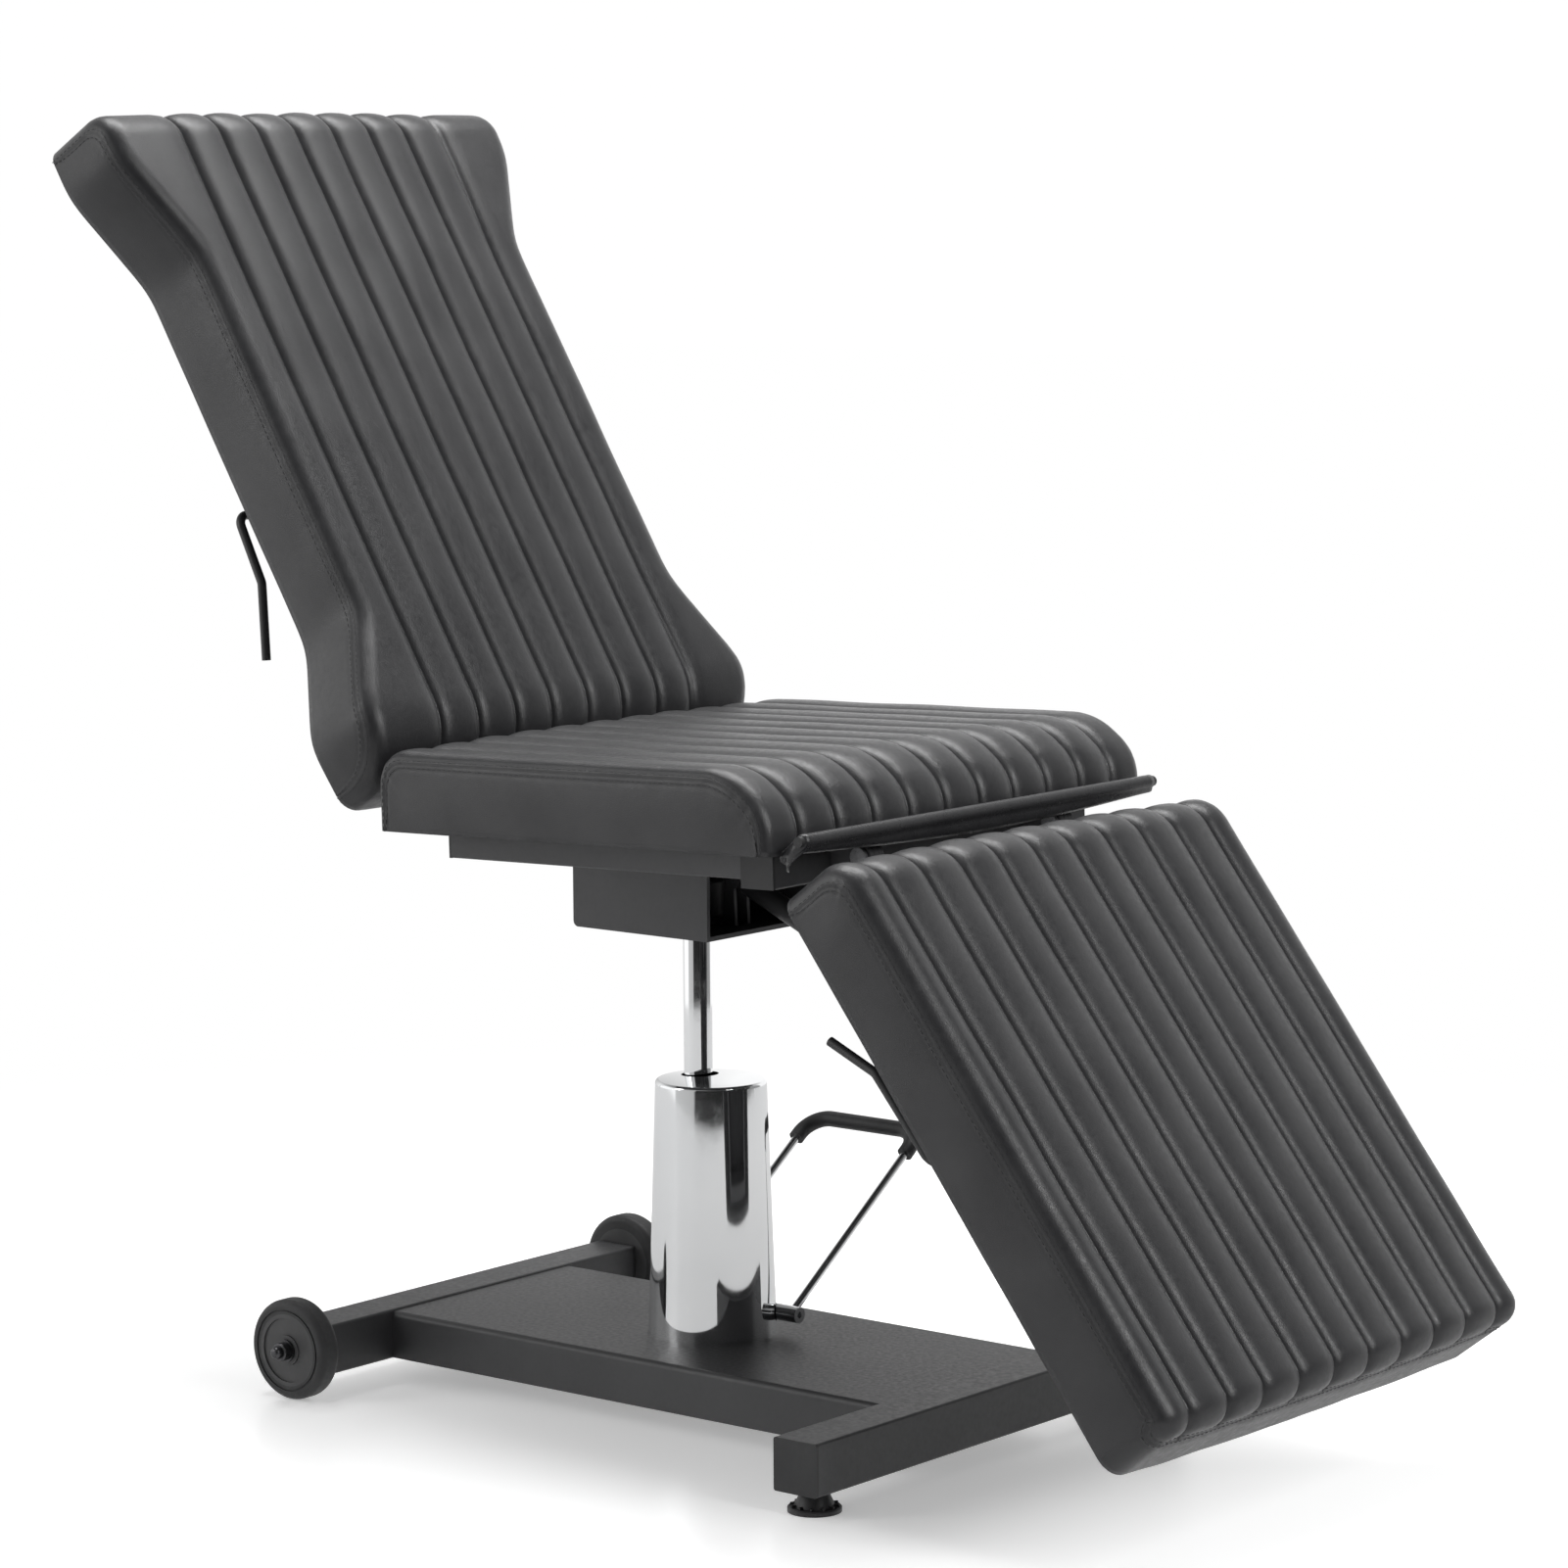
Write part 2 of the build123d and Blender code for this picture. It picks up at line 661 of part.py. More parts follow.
def hinge_ears(side, rear, start, pad_start):
    """Ears under a frame's two long tubes; side is -1 for the back, 1 for the leg rest."""
    y0 = hinge_y - hinge_plate / 2
    end = start + ear_overlap
    outline = [
        (side * end, rear),
        (side * end, rear - frame_tube + 4),
        (side * start, rear - frame_tube + 2),
        (-side * hinge_eye * 0.3, -hinge_eye * 0.9),
        (side * hinge_eye * 0.3, hinge_eye * 0.9),
        (side * (pad_start - 1.0), rear),
    ]
    ear = side_profile(outline, y0, y0 + hinge_plate)
    ear += along_y(0, 0, y0, y0 + hinge_plate, hinge_eye)
    return ear - along_y(0, 0, y0 - 1, y0 + hinge_plate + 1, hinge_pin_radius + fit)


# ================================================================ backrest
# Drawn lying flat: the head points to -X from the hinge, the front faces up.
back_tube_start = 26.0
leg_tube_start = 24.0


def back_outline():
    """The upholstery's outline: wide head, straight waist, wide hips."""
    head, waist, hip = back_head_width / 2, back_waist_width / 2, back_hip_width / 2
    end = back_start + back_length
    side = [
        (-back_start, hip - 6),
        (-back_hip_s, hip),
        (-back_waist_low, waist),
        (-back_waist_high, waist),
        (-back_head_low, head),
        (-end, head),
    ]
    corners = side + [(x, -y) for x, y in reversed(side)]
    radii = [24.0, 46.0, 60.0, 60.0, 50.0, 26.0]
    return make_face(FilletPolyline(*corners, radius=radii + radii[::-1], close=True))


def back_board():
    board = Pos(0, 0, back_rear) * extrude(offset(back_outline(), -board_inset), board_thick)
    return back_place * board


def back_cushion():
    low, high = back_rear + board_thick, back_rear + back_thick
    pad = Pos(0, 0, low) * extrude(back_outline(), high - low)
    r = min(back_roll, high - low - 2.0)
    start = -back_start
    middle = (start - r * (1 - cos(pi / 4)), high - r + r * sin(pi / 4))
    beyond = start - back_length - 100
    side = [
        Line((start, low), (start, high - r)),
        ThreePointArc((start, high - r), middle, (start - r, high)),
        Line((start - r, high), (beyond, high)),
        Line((beyond, high), (beyond, low)),
        Line((beyond, low), (start, low)),
    ]
    wide = back_head_width + 40
    sweep_body = Pos(0, wide / 2, 0) * extrude(Plane.XZ * make_face(side), wide)
    return back_place * (pad & sweep_body)


def frame_tubes(side, rear, start, end):
    """The two long tubes behind a board."""
    half = frame_tube / 2
    x0, x1 = sorted((side * start, side * end))
    long_tube = tube(x0, x1, frame_y - half, frame_y + half, rear - frame_tube, rear, frame_wall, "X")
    return mirrored(long_tube)


def frame_cross(side, rear, start, width, depth):
    """A cross piece between the long tubes, flush with the board's side."""
    reach = frame_y - frame_tube / 2
    x0, x1 = sorted((side * start, side * (start + width)))
    if depth > strap_thick:
        return tube(x0, x1, -reach, reach, rear - depth, rear, frame_wall, "Y")
    return block(x0, x1, -reach, reach, rear - depth, rear)


# ================================================================ releases and gas springs
def spring_bracket(side, rear, cross, spring, slack, lever):
    """Two cheeks on the cross tube: slack holes for the spring, bores for the lever."""
    y0 = spring_eye_width / 2 + cheek_gap
    hole = spring_pin_radius + slack
    deep = min(spring[1] - hole, lever[1] - lever_radius) - cheek_margin
    near = spring[0] - hole - cheek_margin
    x0, x1 = sorted((side * near, side * (cross + frame_tube)))
    base = rear - frame_tube
    cheek = block(x0, x1, y0, y0 + cheek_thick, deep, base)
    cheek -= along_y(side * spring[0], spring[1], y0 - 1, y0 + cheek_thick + 1, hole)
    cheek -= along_y(side * lever[0], lever[1], y0 - 1, y0 + cheek_thick + 1, lever_radius + fit)
    return mirrored(cheek)


def lever_support(side, rear, lever):
    """A guide plate for the lever on the near long tube."""
    base = rear - frame_tube
    x0, x1 = sorted((side * (lever[0] - lever_collar), side * (lever[0] + lever_collar)))
    y0, y1 = -frame_y - lever_guide / 2, -frame_y + lever_guide / 2
    plate = block(x0, x1, y0, y1, lever[1] - lever_collar, base)
    return plate - along_y(side * lever[0], lever[1], y0 - 1, y1 + 1, lever_radius + fit)


def release_lever(side, lever, reach, grip, spring_y):
    """A bent bar: a long cross run and a grip, with a cam between the spring's cheeks."""
    inner = spring_y + spring_eye_width / 2 + cheek_gap + cheek_thick + 4
    x, z = side * lever[0], lever[1]
    route = [(x, inner, z), (x, -reach, z)] + [(side * s, -reach, o) for s, o in grip]
    bar = bent_bar(route, lever_bend, lever_radius)
    cam_x0, cam_x1 = sorted((x, x - side * cam_reach))
    return bar + block(cam_x0, cam_x1, spring_y - cam_half, spring_y + cam_half, z - 3, z + 3)


def spring_geometry(place, foot, s, o, side):
    """World positions of a spring's two ends, its length and its slope."""
    x, _, z = (place * Pos(side * s, 0, o)).position
    dx, dz = x - foot[0], z - foot[1]
    return hypot(dx, dz), degrees(atan2(dz, dx))


def gas_spring(foot, length, slope, body_length, inside):
    """Cylinder and rod along the line between the pivots; inside is the rod's hidden length."""
    turn = Location((foot[0], 0, foot[1]), (0, -slope, 0))
    w = spring_eye_width / 2
    start = spring_eye_radius + spring_neck
    axis = Plane.YZ
    body = extrude(axis.offset(start) * Circle(spring_radius), body_length)
    body = fillet(body.edges().group_by(Axis.X)[-1], 2.5)
    body += extrude(axis * Circle(w - 1), start)
    body += along_y(0, 0, -w, w, spring_eye_radius)
    body -= along_y(0, 0, -w - 1, w + 1, spring_pin_radius + fit)
    mouth = start + body_length
    body -= extrude(axis.offset(start + spring_floor) * Circle(spring_rod_radius + fit), body_length)
    bar = extrude(axis.offset(mouth - inside) * Circle(spring_rod_radius), length - mouth + inside)
    bar += along_y(length, 0, -w, w, spring_eye_radius)
    pin = w + cheek_gap + cheek_thick
    bar += along_y(length, 0, -pin, pin, spring_pin_radius)
    return turn * body, turn * bar


def spring_foot(foot, hold):
    """Cheeks and a pin for a spring's lower eye; hold is the plate's outline."""
    w = spring_eye_width / 2
    parts = []
    for y0 in (w + 0.5, -w - 0.5 - cheek_thick):
        plate = side_profile(hold, y0, y0 + cheek_thick)
        plate += along_y(foot[0], foot[1], y0, y0 + cheek_thick, spring_eye_radius + 2)
        parts.append(plate)
    reach = w + 0.5 + cheek_thick + 2
    bracket = parts[0] + parts[1]
    pin = along_y(foot[0], foot[1], -reach, reach, spring_pin_radius)
    return bracket + pin


# ================================================================ leg rest
# Drawn lying flat: the foot end points to +X from the hinge, the top faces up.
def leg_block(inset, z0, z1):
    half = cushion_width / 2 - inset
    pad = block(leg_start + inset, leg_start + leg_length - inset, -half, half, z0, z1)
    return fillet(pad.edges().filter_by(Axis.Z), leg_corner - inset)


def leg_board():
    return leg_place * leg_block(board_inset, leg_rear, leg_rear + board_thick)


def leg_cushion():
    pad = leg_block(0, leg_rear + board_thick, leg_rear + leg_thick)
    pad = fillet(pad.edges().group_by(Axis.Z)[-1], seat_edge)
    return leg_place * pad


# ================================================================ gap cover
def gap_rod():
    half = gap_rod_length / 2
    bar = along_y(gap_rod_x, gap_rod_z, -half + 2, half - 2, gap_rod_radius)
    return bar - along_y(gap_rod_x, gap_rod_z, -half, half, gap_rod_radius - gap_rod_wall)


def gap_rod_plugs():
    half, r = gap_rod_length / 2, gap_rod_radius
    plug = along_y(gap_rod_x, gap_rod_z, half - 2, half, r)
    plug += along_y(gap_rod_x, gap_rod_z, half - 2 - plug_length, half - 2, r - gap_rod_wall)
    return mirrored(plug)


def gap_flap():
    """Vinyl from the seat's lower front edge up over the rod and down behind it."""
    half = gap_rod_length / 2 - flap_inset
    r0, r1 = gap_rod_radius, gap_rod_radius + flap_thick
    wrap = along_y(gap_rod_x, gap_rod_z, -half, half, r1)
    slope = atan2(gap_rod_z - flap_seam_z, gap_rod_x - flap_seam_x)
    nx, nz = -sin(slope) * r1, cos(slope) * r1
    tx, tz = sin(slope) * flap_thick, -cos(slope) * flap_thick
    upper = side_profile(
        [
            (flap_seam_x, flap_seam_z + flap_thick),
            (gap_rod_x + nx, gap_rod_z + nz),
            (gap_rod_x + nx + tx, gap_rod_z + nz + tz),
            (flap_seam_x, flap_seam_z),
        ],
        -half,
        half,
    )
    low = gap_rod_z - flap_drop
    hang = side_profile(
        [
            (gap_rod_x + r1, gap_rod_z),
            (gap_rod_x + r0, gap_rod_z),
            (gap_rod_x - flap_lean, low),
            (gap_rod_x - flap_lean + flap_thick, low),
        ],
        -half,
        half,
    )
    flap = wrap + upper + hang
    return flap - along_y(gap_rod_x, gap_rod_z, -half - 1, half + 1, r0)


# ================================================================ write every sub-part
save("base_tray", base_tray())
save("front_beam", front_beam())
save("rear_beam", rear_beam())
save("front_beam_caps", *end_caps(front_beam_x, front_half))
save("rear_beam_caps", *end_caps(rear_beam_x, rear_half, axle_radius))
save("foot_nuts", *mirrored(foot_nut()))
save("axle_bolts", *mirrored(axle_bolt()))
save("pump_body", pump_body())
save("pump_cover", pump_cover())
save("pump_bolts", *pump_bolts())

bosses, set_screws = pedal_bosses()
save("pedal_shaft", pedal_shaft())
save("pedal_bosses", *bosses)
save("pedal_set_screws", *set_screws)
save("pedal_fork", pedal_rods())
save("pedal_sleeve", pedal_sleeve())

for label, index in (("far", 0), ("near", 1)):
    save("wheel_tyre_" + label, mirrored(wheel_tyre())[index])
    save("wheel_hub_" + label, mirrored(wheel_hub())[index])
    save("foot_pad_" + label, mirrored(foot_pad())[index])
    save("foot_stem_" + label, mirrored(foot_stem())[index])

save("piston", piston())

save("seat_carrier", seat_carrier())
save("swivel_hub", swivel_hub())
save("seat_rails", *seat_rails())
save("front_cross_tube", front_cross_tube())
save("rear_cross_tube", rear_cross_tube())
save("seat_bearers", *seat_bearers())
save("seat_frame_caps", *seat_frame_caps())
save("seat_board", seat_board())
save("seat_cushion", seat_cushion())
save("back_hinge_cheeks", *back_hinge_cheeks())
save("leg_hinge_cheeks", *leg_hinge_cheeks())
save("hinge_pins", *hinge_pins())

back_foot = (back_spring_foot_x, back_spring_foot_z)
back_hold = [
    (carrier_rear, back_spring_foot_z - spring_eye_radius),
    (carrier_rear, back_spring_foot_z + 2.5 * spring_eye_radius),
    (back_spring_foot_x, back_spring_foot_z + spring_eye_radius),
    (back_spring_foot_x, back_spring_foot_z - spring_eye_radius),
]
leg_foot = (leg_spring_foot_x, leg_spring_foot_z)
foot_base = carrier_bottom + carrier_sheet
leg_hold = [
    (leg_spring_foot_x - 13, foot_base),
    (leg_spring_foot_x + 4, foot_base),
    (leg_spring_foot_x + 2, leg_spring_foot_z - spring_eye_radius),
    (leg_spring_foot_x - spring_eye_radius, leg_spring_foot_z),
]
save("back_spring_foot", Pos(0, back_spring_y, 0) * spring_foot(back_foot, back_hold))
save("leg_spring_foot", spring_foot(leg_foot, leg_hold))


def save_frame(name, place, side, rear, starts, end, cross_s, strap_s):
    """The welded frame of one panel: long tubes, cross pieces and hinge ears."""
    tube_name, cross_name, ear_name = name
    tube_start, pad_start = starts
    save(tube_name, *[place * t for t in frame_tubes(side, rear, tube_start, end)])
    crosses = [
        frame_cross(side, rear, cross_s, frame_tube, frame_tube),
        frame_cross(side, rear, end - frame_tube, frame_tube, frame_tube),
        frame_cross(side, rear, strap_s, strap_width, strap_thick),
    ]
    save(cross_name, *[place * c for c in crosses])
    ears = mirrored(hinge_ears(side, rear, tube_start, pad_start))
    save(ear_name, *[place * e for e in ears])


def save_release(name, place, side, rear, cross_s, spring_at, lever_at, slack, spring_y):
    """One panel's spring bracket with the lever's guide plate."""
    cheeks = spring_bracket(side, rear, cross_s, spring_at, slack, lever_at)
    cheeks = [Pos(0, spring_y, 0) * cheek for cheek in cheeks]
    cheeks.append(lever_support(side, rear, lever_at))
    save(name, *[place * c for c in cheeks])


def save_spring(label, place, side, foot, spring_at, spring_y, body_length, inside):
    """One gas spring: cylinder and rod as separate parts."""
    length, slope = spring_geometry(place, foot, *spring_at, side)
    cylinder, ram = gas_spring(foot, length, slope, body_length, inside)
    save(label + "_spring_cylinder", Pos(0, spring_y, 0) * cylinder)
    save(label + "_spring_rod", Pos(0, spring_y, 0) * ram)
    print(label, "spring at rest", round(length, 2), round(slope, 2))


back_lever_at = (back_lever_s, back_lever_o)
back_spring_at = (back_spring_s, back_spring_o)
back_names = ("back_uprights", "back_cross_bars", "back_hinge_ears")
back_starts = (back_tube_start, back_start)
save_frame(back_names, back_place, -1, back_rear, back_starts, back_frame_end, back_cross_s, back_strap_s)
save("back_board", back_board())
save("back_cushion", back_cushion())
save_release(
    "back_spring_bracket", back_place, -1, back_rear,
    back_cross_s, back_spring_at, back_lever_at, back_pin_slack, back_spring_y,
)
save("back_lever", back_place * release_lever(-1, back_lever_at, back_lever_y, back_grip, back_spring_y))
save_spring(
    "back", back_place, -1, back_foot, back_spring_at, back_spring_y, back_spring_body, back_rod_inside,
)

leg_lever_at = (leg_lever_s, leg_lever_o)
leg_spring_at = (leg_spring_s, leg_spring_o)
leg_names = ("leg_tubes", "leg_cross_bars", "leg_hinge_ears")
leg_starts = (leg_tube_start, leg_start)
save_frame(leg_names, leg_place, 1, leg_rear, leg_starts, leg_frame_end, leg_cross_s, leg_strap_s)
save("leg_board", leg_board())
save("leg_cushion", leg_cushion())
save_release(
    "leg_spring_bracket", leg_place, 1, leg_rear,
    leg_cross_s, leg_spring_at, leg_lever_at, leg_pin_slack, 0.0,
)
save("leg_lever", leg_place * release_lever(1, leg_lever_at, leg_lever_y, leg_grip, 0.0))
save_spring("leg", leg_place, 1, leg_foot, leg_spring_at, 0.0, leg_spring_body, leg_rod_inside)

save("gap_rod", gap_rod())
save("gap_rod_plugs", *gap_rod_plugs())
save("gap_flap", gap_flap())
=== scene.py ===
import json
import math

import bmesh
import bpy
from mathutils import Matrix, Vector, kdtree, noise


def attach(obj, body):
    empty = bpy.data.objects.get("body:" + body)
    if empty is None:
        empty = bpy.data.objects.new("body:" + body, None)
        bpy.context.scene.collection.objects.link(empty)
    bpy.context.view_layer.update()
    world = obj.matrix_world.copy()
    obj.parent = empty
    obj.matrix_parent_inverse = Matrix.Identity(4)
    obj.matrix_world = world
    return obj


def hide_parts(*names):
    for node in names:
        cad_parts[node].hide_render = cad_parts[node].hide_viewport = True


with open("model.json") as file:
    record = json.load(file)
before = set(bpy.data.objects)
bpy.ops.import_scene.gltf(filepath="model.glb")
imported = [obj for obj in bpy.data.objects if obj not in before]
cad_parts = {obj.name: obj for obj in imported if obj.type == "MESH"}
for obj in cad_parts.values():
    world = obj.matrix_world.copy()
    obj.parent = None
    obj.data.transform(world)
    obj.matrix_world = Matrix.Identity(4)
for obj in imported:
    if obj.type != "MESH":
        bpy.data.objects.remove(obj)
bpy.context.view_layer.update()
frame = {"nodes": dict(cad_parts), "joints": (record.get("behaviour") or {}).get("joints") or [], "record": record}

# Facial treatment bed. Lengths in this file are millimetres until a point is
# placed; the scene itself is in metres.
MM = 0.001

joints = {j["name"]: j for j in frame["joints"]}

SEAT_TILT = 1.7             # degrees, front edge up
SEAT_BASE = 588.0           # underside of the seat board above the column
BACK_ANGLE = 58.5           # above the horizontal
LEG_ANGLE = 52.5            # below the horizontal


# ---------------------------------------------------------------- places
def seat_place(u, y, h):
    a = math.radians(SEAT_TILT)
    return Vector((
        u * math.cos(a) - h * math.sin(a),
        y,
        SEAT_BASE + u * math.sin(a) + h * math.cos(a),
    )) * MM


def hinged_place(joint, slope, forward):
    """A placing function for a cushion measured along and off its hinge."""
    origin = Vector(joints[joint]["pos_m"])
    a = math.radians(slope)
    along = Vector((forward * math.cos(a), 0, math.sin(a)))
    off = Vector((-forward * math.sin(a), 0, math.cos(a)))

    def place(s, y, h):
        return Vector((origin.x, 0, origin.z)) + (along * s + off * h + Vector((0, y, 0))) * MM

    return place


back_place = hinged_place("backrest_recline", BACK_ANGLE, -1)
leg_place = hinged_place("leg_raise", -LEG_ANGLE, 1)


# ---------------------------------------------------------------- materials
class Paint:
    """A material under construction, with its shader and a few node helpers."""

    def __init__(self, name, colour, rough, metal=0.0):
        self.mat = bpy.data.materials.new(name)
        self.mat.use_nodes = True
        self.nodes = self.mat.node_tree.nodes
        self.links = self.mat.node_tree.links
        self.shader = self.nodes["Principled BSDF"]
        self.shader.inputs["Base Color"].default_value = (*colour, 1)
        self.shader.inputs["Roughness"].default_value = rough
        self.shader.inputs["Metallic"].default_value = metal
        self.mat.diffuse_color = (*colour, 1)
        self.coords = self.nodes.new("ShaderNodeTexCoord").outputs["Object"]
        self.normal = None

    def stretch(self, x, y, z):
        mapping = self.nodes.new("ShaderNodeMapping")
        mapping.inputs["Scale"].default_value = (x, y, z)
        self.links.new(self.coords, mapping.inputs["Vector"])
        return mapping.outputs["Vector"]

    def cloud(self, scale, detail=3.0, rough=0.5, coords=None):
        node = self.nodes.new("ShaderNodeTexNoise")
        node.inputs["Scale"].default_value = scale
        node.inputs["Detail"].default_value = detail
        node.inputs["Roughness"].default_value = rough
        self.links.new(coords or self.coords, node.inputs["Vector"])
        return node.outputs["Fac"]

    def cells(self, scale):
        node = self.nodes.new("ShaderNodeTexVoronoi")
        node.feature = "DISTANCE_TO_EDGE"
        node.inputs["Scale"].default_value = scale
        self.links.new(self.coords, node.inputs["Vector"])
        return node.outputs["Distance"]

    def span(self, value, low, high, start=0.3, end=0.7):
        node = self.nodes.new("ShaderNodeMapRange")
        node.inputs["From Min"].default_value = start
        node.inputs["From Max"].default_value = end
        node.inputs["To Min"].default_value = low
        node.inputs["To Max"].default_value = high
        self.links.new(value, node.inputs["Value"])
        return node.outputs["Result"]

    def tones(self, value, dark, light, start=0.3, end=0.7):
        node = self.nodes.new("ShaderNodeMix")
        node.data_type = "RGBA"
        self.links.new(self.span(value, 0, 1, start, end), node.inputs["Factor"])
        node.inputs["A"].default_value = (*dark, 1)
        node.inputs["B"].default_value = (*light, 1)
        self.links.new(node.outputs["Result"], self.shader.inputs["Base Color"])

    def roughness(self, value, low, high, start=0.3, end=0.7):
        self.links.new(self.span(value, low, high, start, end), self.shader.inputs["Roughness"])

    def bump(self, value, height, strength=1.0):
        node = self.nodes.new("ShaderNodeBump")
        node.inputs["Distance"].default_value = height * MM
        node.inputs["Strength"].default_value = strength
        self.links.new(value, node.inputs["Height"])
        if self.normal:
            self.links.new(self.normal, node.inputs["Normal"])
        self.normal = node.outputs["Normal"]
        self.links.new(self.normal, self.shader.inputs["Normal"])

    def set(self, **values):
        for name, value in values.items():
            self.shader.inputs[name.replace("_", " ")].default_value = value
        return self


def soft_vinyl(name, rough):
    """Black upholstery vinyl: pebbled grain, fine creases, a soft sheen."""
    paint = Paint(name, (0.018, 0.018, 0.0195), rough)
    broad = paint.cloud(14.0, 3.0)
    paint.tones(broad, (0.013, 0.013, 0.0145), (0.023, 0.023, 0.0245))
    paint.roughness(paint.cloud(160.0, 4.0, 0.6), rough - 0.06, rough + 0.09)
    paint.bump(paint.span(paint.cells(620.0), 0.0, 1.0, 0.0, 0.28), 0.10, 0.55)
    paint.bump(paint.cloud(1500.0, 3.0, 0.6), 0.05, 0.6)
    paint.bump(paint.cloud(70.0, 4.0, 0.6, paint.stretch(1.0, 1.7, 1.3)), 0.30, 0.35)
    return paint.set(Specular_IOR_Level=0.5, Sheen_Weight=0.05, Sheen_Roughness=0.4).mat


def powder_coat(name, dark, light, rough=0.45):
    """Sprayed and baked paint: satin, with orange peel and small speckle."""
    paint = Paint(name, light, rough)
    paint.tones(paint.cloud(9.0, 4.0), dark, light)
    paint.roughness(paint.cloud(220.0, 4.0), rough - 0.05, rough + 0.08)
    paint.bump(paint.cloud(900.0, 2.0), 0.06, 0.5)
    paint.bump(paint.cloud(2600.0, 2.0), 0.02, 0.5)
    return paint.set(Specular_IOR_Level=0.5).mat


def bright_chrome(name, rough=0.035):
    paint = Paint(name, (0.86, 0.87, 0.88), rough, 1.0)
    paint.tones(paint.cloud(5.0), (0.80, 0.81, 0.82), (0.90, 0.905, 0.91))
    paint.roughness(paint.cloud(60.0, 5.0, 0.65), rough, rough + 0.035)
    paint.bump(paint.cloud(7.0, 1.0), 0.12, 0.10)
    return paint.mat


def ground_steel(name, colour, rough, lines=(40.0, 40.0, 900.0)):
    """Turned or zinc-plated steel with fine marks across its length."""
    paint = Paint(name, colour, rough, 1.0)
    streaks = paint.cloud(1.0, 3.0, 0.6, paint.stretch(*lines))
    paint.tones(streaks, tuple(c * 0.82 for c in colour), colour)
    paint.roughness(streaks, rough - 0.05, rough + 0.10)
    paint.bump(streaks, 0.03, 0.4)
    return paint.mat


def moulded(name, dark, light, rough, grain=1100.0):
    """Moulded plastic or rubber with a fine sparkle texture."""
    paint = Paint(name, light, rough)
    paint.tones(paint.cloud(30.0, 4.0), dark, light)
    paint.roughness(paint.cloud(300.0, 4.0), rough - 0.06, rough + 0.10)
    paint.bump(paint.cloud(grain, 3.0), 0.06, 0.6)
    return paint.set(Specular_IOR_Level=0.4).mat


def plywood(name):
    paint = Paint(name, (0.42, 0.30, 0.18), 0.62)
    grain = paint.cloud(1.0, 6.0, 0.6, paint.stretch(14.0, 220.0, 60.0))
    paint.tones(grain, (0.30, 0.20, 0.11), (0.50, 0.37, 0.23))
    paint.roughness(grain, 0.55, 0.75)
    paint.bump(grain, 0.15, 0.4)
    return paint.mat


def sand_casting(name):
    paint = Paint(name, (0.03, 0.03, 0.032), 0.6)
    paint.tones(paint.cloud(40.0, 5.0), (0.02, 0.02, 0.022), (0.045, 0.045, 0.047))
    paint.roughness(paint.cloud(120.0), 0.5, 0.75)
    paint.bump(paint.cloud(420.0, 5.0, 0.7), 0.35, 0.7)
    return paint.mat


def sewing_thread(name):
    paint = Paint(name, (0.02, 0.02, 0.022), 0.55)
    twist = paint.cloud(2400.0, 2.0)
    paint.tones(twist, (0.010, 0.010, 0.011), (0.045, 0.045, 0.047))
    paint.bump(twist, 0.05, 0.8)
    return paint.mat


vinyl = soft_vinyl("cushion_vinyl", 0.36)
flap_vinyl = soft_vinyl("flap_vinyl", 0.30)
dust_cover = moulded("black_dust_cover", (0.012, 0.012, 0.013), (0.022, 0.022, 0.023), 0.85)
frame_paint = powder_coat("frame_powder_coat", (0.032, 0.032, 0.034), (0.044, 0.044, 0.046))
lever_paint = powder_coat("lever_paint", (0.016, 0.016, 0.017), (0.026, 0.026, 0.027), 0.38)
chrome = bright_chrome("bright_chrome")
piston_chrome = ground_steel("piston_chrome", (0.80, 0.80, 0.81), 0.14)
zinc = ground_steel("zinc_plate", (0.58, 0.58, 0.60), 0.32, (700.0, 700.0, 700.0))
tyre_rubber = moulded("tyre_rubber", (0.020, 0.020, 0.021), (0.034, 0.034, 0.035), 0.55)
grip_rubber = moulded("grip_rubber", (0.014, 0.014, 0.015), (0.024, 0.024, 0.025), 0.5)
black_plastic = moulded("black_plastic", (0.018, 0.018, 0.019), (0.030, 0.030, 0.031), 0.42)
hub_plastic = moulded("hub_plastic", (0.042, 0.042, 0.043), (0.060, 0.060, 0.061), 0.45)
axle_black = ground_steel("blackened_axle_nut", (0.10, 0.10, 0.105), 0.30, (500.0, 500.0, 500.0))
board_wood = plywood("board_plywood")
pump_iron = sand_casting("pump_casting")
thread = sewing_thread("sewing_thread")

FINISHES = {
    "frame_paint": frame_paint,
    "cushion_vinyl": vinyl,
    "flap_vinyl": flap_vinyl,
    "plywood": board_wood,
    "chrome": chrome,
    "zinc_steel": zinc,
    "pump_casting": pump_iron,
    "tyre_rubber": tyre_rubber,
    "grip_rubber": grip_rubber,
    "black_plastic": black_plastic,
    "grey_plastic": hub_plastic,
}
OWN_FINISH = {
    "axle_bolts": axle_black,
    "back_lever": lever_paint,
    "leg_lever": lever_paint,
    "back_spring_cylinder": lever_paint,
    "leg_spring_cylinder": lever_paint,
    "back_spring_rod": piston_chrome,
    "leg_spring_rod": piston_chrome,
    "gap_rod": lever_paint,
}

slots = {s["node"]: s["material_slot"] for s in frame["record"]["subparts"]}
for node, piece in frame["nodes"].items():
    finish = OWN_FINISH.get(node, FINISHES[slots[node]])
    piece.data.materials.clear()
    piece.data.materials.append(finish)


def new_piece(mesh, *materials):
    """Adds a mesh to the scene as a piece of the same name."""
    piece = bpy.data.objects.new(mesh.name, mesh)
    bpy.context.scene.collection.objects.link(piece)
    for material in materials:
        mesh.materials.append(material)
    return piece


def smooth_faces(mesh):
    for face in mesh.polygons:
        face.use_smooth = True


